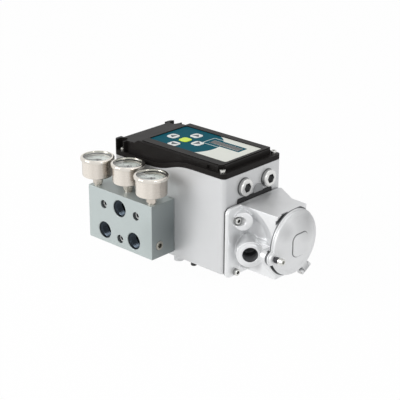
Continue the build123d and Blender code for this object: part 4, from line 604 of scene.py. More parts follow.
@dataclass(frozen=True)
class Polymer:
    """A moulded plastic, a paint or a rubber."""

    name: str
    colour: Colour
    roughness: float
    grain_scale: float = 1.6
    depth_mm: float = 0.03
    spread: float = 0.12
    edge_mm: float = 0.0
    specular: float = 0.5
    wear_scale: float = 0.06
    wear_spread: float = 0.12

    def material(self) -> bpy.types.Material:
        """Build the material.

        Returns:
            The material.
        """
        g = Graph.of_material(self.name)
        place = g.place()
        fine = g.noise(place, self.grain_scale, 3.0)
        wear = g.noise(place, self.wear_scale)
        darker = tuple(c * (1.0 - self.spread) for c in self.colour)
        lighter = tuple(min(1.0, c * (1.0 + self.spread)) for c in self.colour)
        return g.finish(
            g.surface(
                base_color=g.mix(wear, darker, lighter),
                roughness=(wear - 0.5) * self.wear_spread + self.roughness,
                specular_ior_level=self.specular,
                normal=g.bump(fine, self.depth_mm, self.edge_mm),
            )
        )


@dataclass(frozen=True)
class ClearPane:
    """A thin clear window: it lets all light through and only its gloss shows."""

    name: str
    index: float = 1.45
    roughness: float = 0.03
    tint: Colour = WHITE
    dust_scale: float = 0.4
    dust_share: float = 0.03

    def material(self) -> bpy.types.Material:
        """Build the material.

        Returns:
            The material.
        """
        g = Graph.of_material(self.name)
        clear = g.node("ShaderNodeBsdfTransparent", inputs={"Color": self.tint})
        gloss = g.node("ShaderNodeBsdfGlossy", inputs={"Roughness": self.roughness, "Color": WHITE})
        sheen = g.node("ShaderNodeFresnel", inputs={"IOR": self.index})
        inner_side = g.node("ShaderNodeNewGeometry", output="Backfacing")
        faint_dust = g.noise(g.place(), self.dust_scale, 3.0) * self.dust_share
        share = (sheen + faint_dust) * (1.0 - inner_side)
        return g.finish(g.node("ShaderNodeMixShader", inputs={0: share, 1: clear, 2: gloss}))


@dataclass(frozen=True)
class OverlayPrint:
    """The printed front foil: a dark field with a round right end, a pale field and a display border."""

    name: str = "overlay_print"
    field_colour: Colour = from_screen(0, 88, 104)
    pale_colour: Colour = from_screen(246, 248, 240)
    line_colour: Colour = from_screen(226, 236, 234)
    round_centre: tuple[float, float] = (8.0, -4.0)
    round_radius: float = 42.3
    display_centre: tuple[float, float] = (53.0, 14.0)
    display_half: tuple[float, float] = (26.5, 8.5)
    display_corner: float = 1.0
    line_gap: float = 2.6
    line_width: float = 0.6
    lead_centre: tuple[float, float] = (24.6, 1.3)
    lead_half: tuple[float, float] = (0.3, 5.0)
    lead_corner: float = 0.2
    roughness: float = 0.42
    specular: float = 0.02
    grain_scale: float = 2.4

    def material(self) -> bpy.types.Material:
        """Build the material.

        Returns:
            The material.
        """
        g = Graph.of_material(self.name)
        place = g.place()
        x, y, _ = g.axes(place)
        across = (x - self.round_centre[0]).above(0.0)
        along = abs(y - self.round_centre[1])
        from_centre = (across ** 2.0 + along ** 2.0).root()
        in_field = self.round_radius - from_centre
        border = rounded_box(x, y, self.display_centre, self.display_half, self.display_corner)
        wide = (self.display_half[0] + self.line_gap, self.display_half[1] + self.line_gap)
        outline = self.line_width - abs(rounded_box(x, y, self.display_centre, wide, self.line_gap))
        lead = rounded_box(x, y, self.lead_centre, self.lead_half, self.lead_corner)
        colour = g.mix(in_field.edge(), self.pale_colour, self.field_colour)
        lines = outline.edge() * in_field.edge()
        colour = g.mix(lines.above(lead.edge()), colour, self.line_colour)
        colour = g.mix(border.edge(), colour, self.field_colour)
        fine = g.noise(place, self.grain_scale)
        return g.finish(
            g.surface(
                base_color=colour,
                roughness=fine * 0.08 + self.roughness,
                specular_ior_level=self.specular,
                normal=g.bump(fine, 0.01),
            )
        )


class Arrow(Enum):
    """Direction in which a key's arrow points, as X and Y."""

    NONE = (0.0, 0.0)
    LEFT = (-1.0, 0.0)
    RIGHT = (1.0, 0.0)
    DOWN = (0.0, -1.0)
    UP = (0.0, 1.0)


@dataclass(frozen=True)
class KeyFace:
    """A key's cap with a printed arrow."""

    name: str
    centre: tuple[float, float]
    arrow: Arrow
    colour: Colour
    arrow_colour: Colour = from_screen(12, 44, 54)
    top: float = 142.2
    tip: float = 4.5
    base: float = -2.8
    slope: float = 0.82
    grain_scale: float = 1.8
    roughness: float = 0.28
    shade: float = 0.95
    edge_mm: float = 0.3

    def material(self) -> bpy.types.Material:
        """Build the material.

        Returns:
            The material.
        """
        g = Graph.of_material(self.name)
        place = g.place()
        x, y, z = g.axes(place)
        dx = x - self.centre[0]
        dy = y - self.centre[1]
        fine = g.noise(place, self.grain_scale)
        colour = g.mix(fine, tuple(c * self.shade for c in self.colour), self.colour)
        if self.arrow is not Arrow.NONE:
            ahead = dx * self.arrow.value[0] + dy * self.arrow.value[1]
            aside = abs(dx * self.arrow.value[1] - dy * self.arrow.value[0])
            inside = (ahead - self.base).below((self.tip - ahead) * self.slope - aside)
            on_top = (z - self.top).edge(0.1)
            colour = g.mix(inside.edge() * on_top, colour, self.arrow_colour)
        return g.finish(
            g.surface(
                base_color=colour,
                roughness=fine * 0.1 + self.roughness,
                normal=g.bump(fine, 0.01, self.edge_mm),
            )
        )


@dataclass(frozen=True)
class DialPrint:
    """A gauge's dial: a pale disc with a ring of fine and heavy marks."""

    name: str
    centre: tuple[float, float]
    colour: Colour = from_screen(242, 250, 244)
    mark_colour: Colour = from_screen(28, 32, 36)
    sweep: float = GAUGE_SWEEP
    marks: int = 50
    heavy_every: int = 5
    outer: float = 16.2
    fine_inner: float = 14.6
    fine_width: float = 0.14
    heavy_inner: float = 13.2
    heavy_width: float = 0.26
    rim_width: float = 0.2
    grain_scale: float = 1.5
    shade: float = 0.97

    def material(self) -> bpy.types.Material:
        """Build the material.

        Returns:
            The material.
        """
        g = Graph.of_material(self.name)
        place = g.place()
        x, y, _ = g.axes(place)
        dx = x - self.centre[0]
        dy = y - self.centre[1]
        radius = g.distance(dx, dy)
        turn = dx.angle_to(dy) * math.degrees(1.0)
        swept = turn + self.sweep / 2
        step = self.sweep / self.marks
        in_sweep = (swept + step / 4).edge(0.2) * (self.sweep + step / 4 - swept).edge(0.2)
        fine = self._spokes(swept, radius, step, self.fine_width) * (radius - self.fine_inner).edge()
        wide_step = step * self.heavy_every
        heavy = self._spokes(swept, radius, wide_step, self.heavy_width) * (radius - self.heavy_inner).edge()
        rim = (self.rim_width - abs(radius - self.outer)).edge()
        marks = (fine.above(heavy) * (self.outer - radius).edge()).above(rim) * in_sweep
        speckle = g.noise(place, self.grain_scale)
        base = g.mix(speckle, tuple(c * self.shade for c in self.colour), self.colour)
        return g.finish(
            g.surface(
                base_color=g.mix(marks, base, self.mark_colour),
                roughness=speckle * 0.1 + 0.4,
                normal=g.bump(speckle, 0.01),
            )
        )

    def _spokes(self, swept: Value, radius: Value, step: float, half_width: float) -> Value:
        """A mask of spokes.

        Args:
            swept: Angle from the first mark, in degrees.
            radius: Distance from the centre, in millimetres.
            step: Angle between two spokes, in degrees.
            half_width: Half a spoke's width, in millimetres.

        Returns:
            The mask.
        """
        off = abs((swept / step + 0.5).fraction() - 0.5) * step
        return (half_width - off * radius * math.radians(1.0)).edge(0.08)


@dataclass(frozen=True)
class DisplayFace:
    """The display's grey glass with two faint rows of character cells."""

    name: str = "display_face"
    colour: Colour = from_screen(164, 158, 154)
    dim: Colour = from_screen(148, 143, 139)
    cell: float = 2.75
    row: float = 5.0
    cell_fill: float = 0.4
    row_fill: float = 0.42
    cell_strength: float = 0.08
    haze_scale: float = 0.08
    roughness: float = 0.2
    coat: float = 0.3
    low: tuple[float, float] = (30.5, 8.9)

    def material(self) -> bpy.types.Material:
        """Build the material.

        Returns:
            The material.
        """
        g = Graph.of_material(self.name)
        place = g.place()
        x, y, _ = g.axes(place)
        across = abs(((x - self.low[0]) / self.cell).fraction() - 0.5) * self.cell
        along = abs(((y - self.low[1]) / self.row).fraction() - 0.5) * self.row
        in_cell = (self.cell * self.cell_fill - across).edge(0.1)
        in_row = (self.row * self.row_fill - along).edge(0.1)
        haze = g.noise(place, self.haze_scale)
        colour = g.mix(in_cell * in_row * self.cell_strength, self.colour, self.dim)
        return g.finish(
            g.surface(base_color=colour, roughness=haze * 0.1 + self.roughness, coat_weight=self.coat)
        )


@dataclass(frozen=True)
class BoardFinish:
    """A green circuit board with copper tracks under its lacquer."""

    name: str = "board_lacquer"
    colour: Colour = from_screen(22, 92, 52)
    track: Colour = from_screen(44, 128, 78)
    track_scale: float = 0.35
    track_width: float = 0.12
    roughness: float = 0.35

    def material(self) -> bpy.types.Material:
        """Build the material.

        Returns:
            The material.
        """
        g = Graph.of_material(self.name)
        place = g.place()
        inputs = {"Vector": place, "Scale": self.track_scale}
        cells = g.node("ShaderNodeTexVoronoi", {"distance": "MANHATTAN"}, inputs, "Distance")
        tracks = (self.track_width - abs((cells * 3.0).fraction() - 0.5)).edge(0.05)
        colour = g.mix(tracks, self.colour, self.track)
        roughness = tracks * 0.1 + self.roughness
        return g.finish(g.surface(base_color=colour, roughness=roughness, normal=g.bump(tracks, 0.03)))


class Palette:
    """Every finish of the positioner, each built once and shared."""

    cast_box = Metal(
        "cast_box",
        from_screen(240, 241, 242),
        0.34,
        metallic=0.45,
        grain_scale=0.9,
        depth_mm=0.04,
        spread=0.2,
        shades=(
            # Painted shade in the cable entry bore, painted shadow in the gap behind the lid, painted shade
            # on the top face and on the chamber walls.
            BoreShade(CONDUIT_FACE, CONDUIT_INWARD, radius=9.9, start=0.6, depth=30.0, strength=0.85),
            face_ring(165.2, LID_AXIS_Z, radius=42.0, depth=4.0, strength=0.92, inner=38.6),
            BoreShade((140.0, 0.0, BOX_TOP), UPWARD, radius=100.0, start=0.0, depth=12.0, strength=0.3),
            ChamberShade((139.0, 6.0, LID_AXIS_Z), half=(21.5, 19.5, 34.5), strength=0.6),
            # Painted shade spots on the casting's face and its hinge lug.
            SoftSpot((137.0, -28.0, 64.0), 16.0, 0.45),
            SoftSpot((117.0, -37.0, 53.0), 12.0, 0.4),
            SoftSpot((134.0, -30.0, 26.0), 14.0, 0.35),
            SoftSpot((160.0, -38.0, 47.0), 15.0, 0.35),
            SoftSpot((169.0, 23.0, 14.0), 14.0, 0.5),
        ),
    )
    cast_lid = Metal(
        "cast_lid",
        from_screen(232, 233, 234),
        0.4,
        metallic=0.3,
        grain_scale=0.9,
        depth_mm=0.03,
        spread=0.16,
        shades=(
            # A painted shade line round the pad, painted shadow on the lid's rim ring, and painted shade
            # spots on its face and hinge lug.
            PadOutline((0.0, LID_AXIS_Z), half=14.3, corner=9.5, width=0.5, start=174.6, strength=0.85),
            face_ring(168.2, LID_AXIS_Z, radius=60.0, depth=2.3, strength=0.9, inner=39.4),
            SoftSpot((173.0, 18.0, 80.0), 30.0, 0.4),
            SoftSpot((173.0, -20.0, 74.0), 14.0, 0.3),
            SoftSpot((172.0, 23.0, 14.0), 12.0, 0.6),
        ),
    )
    housing = Metal(
        "housing_satin",
        from_screen(214, 215, 216),
        0.4,
        metallic=0.4,
        grain_scale=1.6,
        spread=0.06,
        edge_mm=0.5,
        shades=(
            # Painted shade past the right end face, and painted shadow round the end plugs.
            SlabShade(108.1, 0.55),
            *sockets(HOUSING_END, END_PLUGS, radius=11.5, depth=1.0, strength=0.7, start=-0.5),
        ),
    )
    block = Metal(
        "block_anodised",
        from_screen(182, 191, 190),
        0.4,
        Grain.MILLED,
        metallic=0.3,
        grain_scale=1.2,
        depth_mm=0.01,
        spread=0.05,
        edge_mm=0.25,
        shades=(
            # Painted shade on the right end face and towards its back, and in the air ports and screw
            # counterbores.
            SlabShade(28.9, 0.48),
            SoftSpot((BLOCK_END, -56.0, 46.0), 44.0, 0.45),
            *front_bores(
                BLOCK_FRONT, tuple(AIR_PORTS.values()), radius=10.9, start=0.7, depth=22.0, strength=0.96
            ),
            *front_bores(BLOCK_FRONT, CAP_SCREWS, radius=5.9, start=0.7, depth=22.0, strength=0.85),
        ),
        # Navy colour of the painted shade.
        dark=from_screen(38, 45, 52),
    )
    cap_screw = Metal(
        "cap_screw_steel",
        from_screen(240, 240, 238),
        0.3,
        metallic=0.4,
        grain_scale=2.0,
        depth_mm=0.01,
        # Painted shade in the screws' sockets.
        shades=front_bores(
            CAP_SCREW_FACE, CAP_SCREWS, radius=3.0, start=SOCKET_START, depth=5.0, strength=0.95
        ),
    )
    plug = Metal(
        "plug_steel",
        from_screen(224, 224, 222),
        0.2,
        Grain.TURNED_X,
        metallic=0.9,
        grain_scale=1.2,
        depth_mm=0.008,
        spread=0.06,
        shades=(
            # Painted shade at the plugs' base and down the sides of their heads, and in their sockets.
            face_ring(107.6, END_PLUGS[0][1], radius=60.0, depth=1.6, strength=0.75),
            face_ring(107.6, END_PLUGS[0][1], radius=60.0, depth=4.6, strength=0.45),
            *sockets(END_PLUG_FACE, END_PLUGS, radius=6.2, depth=5.0, strength=0.65),
        ),
    )
    flange_screw = Metal(
        "flange_screw_steel",
        from_screen(220, 220, 217),
        0.24,
        metallic=0.9,
        grain_scale=2.0,
        depth_mm=0.01,
        shades=(
            # Painted shade down the sides of the heads and in their sockets.
            face_ring(113.0, LID_AXIS_Z, radius=90.0, depth=4.4, strength=0.55),
            *sockets(FLANGE_SCREW_FACE, FLANGE_SCREWS, radius=2.6, depth=4.0, strength=0.9),
        ),
    )
    # The plug steel darkened: painted shade that stands in for the plug's dark reflections.
    block_plug = Metal(
        "block_plug_shaded_steel",
        from_screen(158, 156, 148),
        0.2,
        Grain.TURNED_X,
        metallic=0.9,
        grain_scale=1.2,
        depth_mm=0.008,
        spread=0.06,
    )
    screw = Metal("screw_steel", from_screen(214, 214, 210), 0.24, grain_scale=2.0, depth_mm=0.01)
    socket = Metal(
        "gauge_socket_steel",
        from_screen(206, 198, 188),
        0.26,
        Grain.TURNED_Z,
        metallic=0.9,
        grain_scale=1.0,
        depth_mm=0.004,
        spread=0.06,
    )
    bezel = Metal(
        "gauge_bezel_steel",
        from_screen(222, 217, 209),
        0.16,
        Grain.TURNED_Z,
        grain_scale=1.0,
        depth_mm=0.005,
        spread=0.05,
    )
    shaft = Metal(
        "shaft_ground", from_screen(196, 194, 190), 0.2, Grain.TURNED_Z, grain_scale=1.2, depth_mm=0.006
    )
    spool = Metal(
        "spool_ground", from_screen(204, 202, 198), 0.18, Grain.TURNED_X, grain_scale=1.2, depth_mm=0.006
    )
    # Thread colour darkened: painted shade inside the air ports.
    thread = Metal("thread_painted_shade", from_screen(58, 65, 72), 0.22, grain_scale=1.0, depth_mm=0.006)
    # Thread colour darkened: painted shade inside the cable entry.
    thread_dark = Metal(
        "thread_shaded", from_screen(84, 85, 87), 0.45, metallic=0.5, grain_scale=1.0, depth_mm=0.006
    )
    bronze = Metal(
        "bush_bronze", from_screen(190, 142, 82), 0.32, Grain.TURNED_Z, grain_scale=1.0, depth_mm=0.01
    )
    brass = Metal("brass", from_screen(214, 178, 98), 0.25, Grain.TURNED_Z, grain_scale=1.0, depth_mm=0.01)
    sheet = Metal(
        "sheet_aluminium", from_screen(206, 208, 210), 0.35, Grain.DRAWN_X, grain_scale=1.0, depth_mm=0.01
    )
    spring = Metal("spring_steel", from_screen(84, 84, 88), 0.25, grain_scale=1.0, depth_mm=0.006)
    valve = Metal(
        "valve_anodised",
        from_screen(176, 178, 182),
        0.4,
        Grain.DRAWN_X,
        metallic=0.8,
        grain_scale=1.0,
        depth_mm=0.01,
    )
    cover = Polymer(
        "cover_moulded",
        from_screen(31, 29, 28),
        0.4,
        grain_scale=2.0,
        spread=0.08,
        edge_mm=0.4,
        specular=0.08,
    )
    rubber = Polymer(
        "rubber", from_screen(28, 28, 29), 0.62, grain_scale=1.2, depth_mm=0.05, spread=0.2, specular=0.4
    )
    black = Polymer("black_plastic", from_screen(30, 30, 31), 0.4, grain_scale=1.5)
    gear = Polymer("gear_plastic", from_screen(226, 222, 206), 0.4, grain_scale=1.0, depth_mm=0.01)
    paint = Polymer("converter_paint", from_screen(72, 78, 84), 0.4, grain_scale=1.8, depth_mm=0.04)
    sensor = Polymer("sensor_plastic", from_screen(38, 58, 84), 0.35, grain_scale=1.2, depth_mm=0.02)
    strip = Polymer("strip_plastic", from_screen(150, 156, 152), 0.45, grain_scale=1.2, depth_mm=0.02)
    number = Polymer("dial_ink", from_screen(26, 30, 34), 0.5, grain_scale=1.0, depth_mm=0.005)
    pointer = Polymer("pointer_black", from_screen(24, 24, 26), 0.45, grain_scale=1.0, depth_mm=0.005)
    glass = ClearPane("gauge_glass")
    window = ClearPane("display_window", index=1.4, roughness=0.05, tint=(0.93, 0.95, 0.94))
    display = DisplayFace()
    overlay = OverlayPrint()
    board = BoardFinish()

    _made: dict[str, bpy.types.Material] = {}

    @classmethod
    def get(cls, finish: Finish) -> bpy.types.Material:
        """The material of a finish, built at its first use.

        Args:
            finish: The finish.

        Returns:
            The material.
        """
        if finish.name not in cls._made:
            cls._made[finish.name] = finish.material()
        return cls._made[finish.name]


Finish = Metal | Polymer | ClearPane | OverlayPrint | KeyFace | DialPrint | DisplayFace | BoardFinish


# Meshes and pieces

WELD_REACH_MM = 0.002
EASE_FACTOR = 0.5
INK_MM = 0.02


def dress(node: str, finish: Finish) -> None:
    """Give a CAD node a finish.

    Args:
        node: The node's name.
        finish: Its finish.
    """
    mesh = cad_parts[node].data
    mesh.materials.clear()
    mesh.materials.append(Palette.get(finish))
    log.info("%s: %s", node, finish.name)


def add_piece(
    name: str,
    vertices: list[Point],
    faces: list[tuple[int, ...]],
    finish: Finish,
    body: str,
    smooth: bool = True,
) -> bpy.types.Object:
    """Make a mesh piece that rides on a body.

    Args:
        name: The piece's name.
        vertices: Its points in millimetres.
        faces: Its faces, as vertex numbers.
        finish: Its finish.
        body: The body that it rides on.
        smooth: Whether its faces are shaded smooth.

    Returns:
        The piece.
    """
    mesh = bpy.data.meshes.new(name)
    mesh.from_pydata([tuple(c * MM for c in v) for v in vertices], [], faces)
    work = bmesh.new()
    work.from_mesh(mesh)
    bmesh.ops.recalc_face_normals(work, faces=work.faces)
    work.to_mesh(mesh)
    work.free()
    for polygon in mesh.polygons:
        polygon.use_smooth = smooth
    mesh.materials.append(Palette.get(finish))
    piece = bpy.data.objects.new(name, mesh)
    bpy.context.scene.collection.objects.link(piece)
    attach(piece, body)
    log.info("%s rides on %s", name, body)
    return piece


def lathe(
    profile: list[tuple[float, float]], centre: Point, axis: Point, steps: int = 64
) -> tuple[list[Point], list[tuple[int, ...]]]:
    """Turn a closed profile about an axis.

    Args:
        profile: Radius and height pairs, in millimetres.
        centre: The point of height 0.
        axis: The axis direction.
        steps: Number of steps round.

    Returns:
        The vertices and faces.
    """
    turn = Vector(UPWARD).rotation_difference(Vector(axis).normalized()).to_matrix()
    vertices = []
    for step in range(steps):
        angle = FULL_TURN * step / steps
        for radius, height in profile:
            point = turn @ Vector((radius * math.cos(angle), radius * math.sin(angle), height))
            vertices.append(tuple(point + Vector(centre)))
    count = len(profile)
    faces = []
    for step in range(steps):
        after = (step + 1) % steps
        for i in range(count):
            j = (i + 1) % count
            faces.append((step * count + i, step * count + j, after * count + j, after * count + i))
    return vertices, faces


@dataclass(frozen=True)
class Thread:
    """A cut female thread: a ridge that winds down the wall of a bore."""

    name: str
    mouth: Point
    inward: Point
    radius: float
    pitch: float
    start: float
    length: float
    finish: Finish
    steps: int = 40
    crest_share: float = 0.55
    foot_share: float = 0.42
    sunk: float = 0.05

    def build(self, body: str, slot: str) -> None:
        """Build the ridge and let it ride on a body.

        Args:
            body: The body that it rides on.
            slot: Not used.
        """
        crest = self.crest_share * self.pitch
        turns = self.length / self.pitch
        turn = Vector(UPWARD).rotation_difference(Vector(self.inward).normalized()).to_matrix()
        total = int(turns * self.steps)
        vertices = []
        for step in range(total + 1):
            angle = FULL_TURN * step / self.steps
            height = self.start + self.pitch * step / self.steps
            fade = min(1.0, step / self.steps, (total - step) / self.steps)
            section = ((self.sunk, -self.foot_share), (-crest * fade, 0.0), (self.sunk, self.foot_share))
            for outward, offset in section:
                r = self.radius + outward
                point = Vector((r * math.cos(angle), r * math.sin(angle), height + offset * self.pitch))
                vertices.append(tuple(turn @ point + Vector(self.mouth)))
        faces = []
        for step in range(total):
            low = 3 * step
            faces.append((low, low + 1, low + 4, low + 3))
            faces.append((low + 1, low + 2, low + 5, low + 4))
            faces.append((low + 2, low, low + 3, low + 5))
        faces.append((0, 1, 2))
        faces.append((3 * total, 3 * total + 2, 3 * total + 1))
        add_piece(self.name, vertices, faces, self.finish, body, smooth=False)


def softened(node: str, finish: Finish, body: str, voxel_mm: float, rounds: int) -> None:
    """Stand a copy with rounded edges in place of a cast node.

    Args:
        node: The CAD node.
        finish: The copy's finish.
        body: The body that it rides on.
        voxel_mm: Grid size of the new mesh.
        rounds: Rounds of smoothing.
    """
    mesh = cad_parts[node].data.copy()
    mesh.name = f"{node}_casting"
    piece = bpy.data.objects.new(f"{node}_casting", mesh)
    bpy.context.scene.collection.objects.link(piece)
    weld = piece.modifiers.new("weld", "WELD")
    weld.merge_threshold = WELD_REACH_MM * MM
    grid = piece.modifiers.new("grid", "REMESH")
    grid.mode = "VOXEL"
    grid.voxel_size = voxel_mm * MM
    grid.use_smooth_shade = True
    ease = piece.modifiers.new("ease", "SMOOTH")
    ease.factor = EASE_FACTOR
    ease.iterations = rounds
    made = bpy.data.meshes.new_from_object(piece.evaluated_get(bpy.context.evaluated_depsgraph_get()))
    piece.modifiers.clear()
    piece.data = made
    made.materials.clear()
    made.materials.append(Palette.get(finish))
    for polygon in made.polygons:
        polygon.material_index = 0
        polygon.use_smooth = True
    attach(piece, body)
    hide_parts(node)
    log.info("%s stands for %s with %d faces", piece.name, node, len(made.polygons))


def dial_number(name: str, words: str, place: Point, size: float, body: str) -> None:
    """Print a number flat on a dial.

    Args:
        name: The piece's name.
        words: The number.
        place: Its centre in millimetres.
        size: Height of the letters in millimetres.
        body: The body that it rides on.
    """
    curve = bpy.data.curves.new(name, "FONT")
    curve.body = words
    curve.size = size * MM
    curve.align_x = "CENTER"
    curve.align_y = "CENTER"
    curve.extrude = INK_MM * MM
    curve.materials.append(Palette.get(Palette.number))
    piece = bpy.data.objects.new(name, curve)
    bpy.context.scene.collection.objects.link(piece)
    piece.matrix_world = Matrix.Translation(Vector(place) * MM)
    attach(piece, body)


# Sub-assemblies

ROOT = "positioner"
Finishes = dict[str, Finish]


def table(**entries: Finish | tuple[float, float]) -> dict:
    """A dataclass field that starts as its own copy of a table."""
    return field(default_factory=lambda: dict(entries))


@dataclass
class Dressed:
    """A sub-assembly whose nodes each take one finish."""

    finishes: Finishes

    def build(self) -> None:
        """Dress the nodes."""
        for node, finish in self.finishes.items():
            dress(node, finish)


@dataclass
class Housing(Dressed):
    """The cast housing with its seal, screws and the plugs on the right end."""

    finishes: Finishes = table(
        housing=Palette.housing,
        cover_gasket=Palette.rubber,
        end_plugs=Palette.plug,
        vent_plug=Palette.black,
    )


@dataclass
class KeypadCover(Dressed):
    """The moulded cover with the printed foil, the keys and the display."""

    finishes: Finishes = table(
        cover=Palette.cover,
        cover_screws=Palette.screw,
        keypad_overlay=Palette.overlay,
        lcd_lens=Palette.window,
        lcd_module=Palette.display,
        display_board=Palette.board,
    )
    pad_centre: tuple[float, float] = (2.3, -4.7)
    pitch: float = 20.3
    white: Colour = from_screen(242, 245, 243)
    green: Colour = from_screen(224, 252, 30)

    def build(self) -> None:
        """Dress the nodes and print the keys' arrows."""
        super().build()
        for arrow in Arrow:
            name = "key_enter" if arrow is Arrow.NONE else f"key_{arrow.name.lower()}"
            centre = tuple(c + step * self.pitch for c, step in zip(self.pad_centre, arrow.value))
            colour = self.green if arrow is Arrow.NONE else self.white
            dress(name, KeyFace(f"{name}_face", centre, arrow, colour))


@dataclass
class ManifoldBlock(Dressed):
    """The pneumatic block with its threaded ports, screws and plug."""

    finishes: Finishes = table(
        manifold_block=Palette.block,
        manifold_screws=Palette.cap_screw,
        manifold_plug=Palette.block_plug,
        manifold_seals=Palette.rubber,
    )
    front_y: float = BLOCK_FRONT
    ports: dict[str, tuple[float, float]] = table(**AIR_PORTS)
    port_radius: float = 10.4
    pitch: float = 1.81
    thread_start: float = 3.0
    thread_length: float = 12.5

    def build(self) -> None:
        """Dress the nodes and cut the threads."""
        super().build()
        for name, (x, z) in self.ports.items():
            thread = Thread(
                f"thread_{name}",
                (x, self.front_y, z),
                BACKWARD,
                self.port_radius,
                self.pitch,
                self.thread_start,
                self.thread_length,
                Palette.thread,
            )
            thread.build(ROOT, "anodised_block")


@dataclass
class Gauge:
    """One pressure gauge, read from above."""

    number: int
    x: float
    y: float
    dial_z: float = 117.2
    lens_z: float = 120.6
    number_radius: float = 10.6
    number_size: float = 2.9
    top: int = 10
    sweep: float = GAUGE_SWEEP
    ink_lift: float = 0.03
    ring_radii: tuple[float, float] = (17.2, 17.95)
    ring_heights: tuple[float, float] = (-1.2, -0.02)

    def build(self) -> None:
        """Dress the gauge's nodes, print its numbers and lay its ring."""
        prefix = f"gauge_{self.number}"
        case = Metal(
            f"{prefix}_case_steel",
            from_screen(232, 225, 216),
            0.27,
            Grain.TURNED_Z,
            metallic=0.9,
            grain_scale=1.0,
            depth_mm=0.001,
            spread=0.03,
            # Painted reflection bands down the case's sides, in their painted shade colour.
            shades=(RoundBands((self.x, self.y), 0.6),),
            dark=from_screen(112, 104, 96),
        )
        dress(f"{prefix}_case", case)
        dress(f"{prefix}_bezel", Palette.bezel)
        dress(f"{prefix}_lens", Palette.glass)
        dress(f"{prefix}_dial", DialPrint(f"{prefix}_dial_print", (self.x, self.y)))
        dress(f"{prefix}_pointer", Palette.pointer)
        for value in range(0, self.top + 1, 2):
            angle = math.radians(self.sweep * (value / self.top - 0.5))
            place = (
                self.x + self.number_radius * math.sin(angle),
                self.y + self.number_radius * math.cos(angle),
                self.dial_z + self.ink_lift,
            )
            dial_number(f"{prefix}_number_{value}", str(value), place, self.number_size, ROOT)
        inner, outer = self.ring_radii
        low, high = self.ring_heights
        ring = [(inner, low), (outer, low), (outer, high), (inner, high)]
        vertices, faces = lathe(ring, (self.x, self.y, self.lens_z), UPWARD)
        add_piece(f"{prefix}_lens_ring", vertices, faces, Palette.black, ROOT, smooth=False)


@dataclass
class TerminalBox(Dressed):
    """The cast terminal box with its cable thread, screws and strip."""

    finishes: Finishes = table(
        terminal_gasket=Palette.rubber,
        flange_screws=Palette.flange_screw,
        terminal_strip=Palette.strip,
        terminal_screws=Palette.screw,
        hinge_pin=Palette.shaft,
    )
    conduit_face: Point = CONDUIT_FACE
    conduit_inward: Point = CONDUIT_INWARD
    conduit_radius: float = 9.2
    conduit_pitch: float = 1.5
    thread_start: float = 2.0
    thread_length: float = 16.0

    def build(self) -> None:
        """Dress the nodes, round the casting and cut the thread."""
        softened("terminal_box", Palette.cast_box, ROOT, voxel_mm=0.6, rounds=5)
        super().build()
        thread = Thread(
            "thread_cable_entry",
            self.conduit_face,
            self.conduit_inward,
            self.conduit_radius,
            self.conduit_pitch,
            self.thread_start,
            self.thread_length,
            Palette.thread_dark,
        )
        thread.build(ROOT, "cast_box")


@dataclass
class TerminalLid(Dressed):
    """The round hinged lid with its seal, clamp screw and spring."""

    finishes: Finishes = table(
        terminal_cover_seal=Palette.rubber,
        clamp_screw=Palette.screw,
        clamp_spring=Palette.spring,
    )
    body: str = "terminal_lid"

    def build(self) -> None:
        """Round the casting and dress what it carries."""
        softened("terminal_cover", Palette.cast_lid, self.body, voxel_mm=0.45, rounds=3)
        super().build()


@dataclass
class Drive(Dressed):
    """The feedback shaft with its bearings, gears and sensor."""

    finishes: Finishes = table(
        feedback_shaft=Palette.shaft,
        lower_bush=Palette.bronze,
        upper_bush=Palette.bronze,
        shaft_seal=Palette.rubber,
        retaining_ring=Palette.spring,
        drive_gear=Palette.gear,
        pot_pinion=Palette.brass,
        potentiometer=Palette.sensor,
    )


@dataclass
class Innards(Dressed):
    """The frame, boards, converter and valve inside the housing, and the gauges' sockets and tubes."""

    finishes: Finishes = table(
        inner_frame=Palette.sheet,
        board_standoffs=Palette.brass,
        main_board=Palette.board,
        ip_converter=Palette.paint,
        valve_body=Palette.valve,
        valve_spool=Palette.spool,
        gauge_sockets=Palette.socket,
        gauge_tubes=Palette.bronze,
    )


@dataclass
class Softbox:
    """One square lamp that points at the part."""

    name: str
    place: Point
    size: float
    power: float

    def build(self, target: Vector) -> None:
        """Hang the lamp.

        Args:
            target: The point that it faces, in metres.
        """
        light = bpy.data.lights.new(self.name, "AREA")
        light.shape = "SQUARE"
        light.size = self.size
        light.energy = self.power
        lamp = bpy.data.objects.new(self.name, light)
        lamp.location = self.place
        lamp.rotation_euler = (target - Vector(self.place)).to_track_quat("-Z", "Y").to_euler()
        bpy.context.scene.collection.objects.link(lamp)


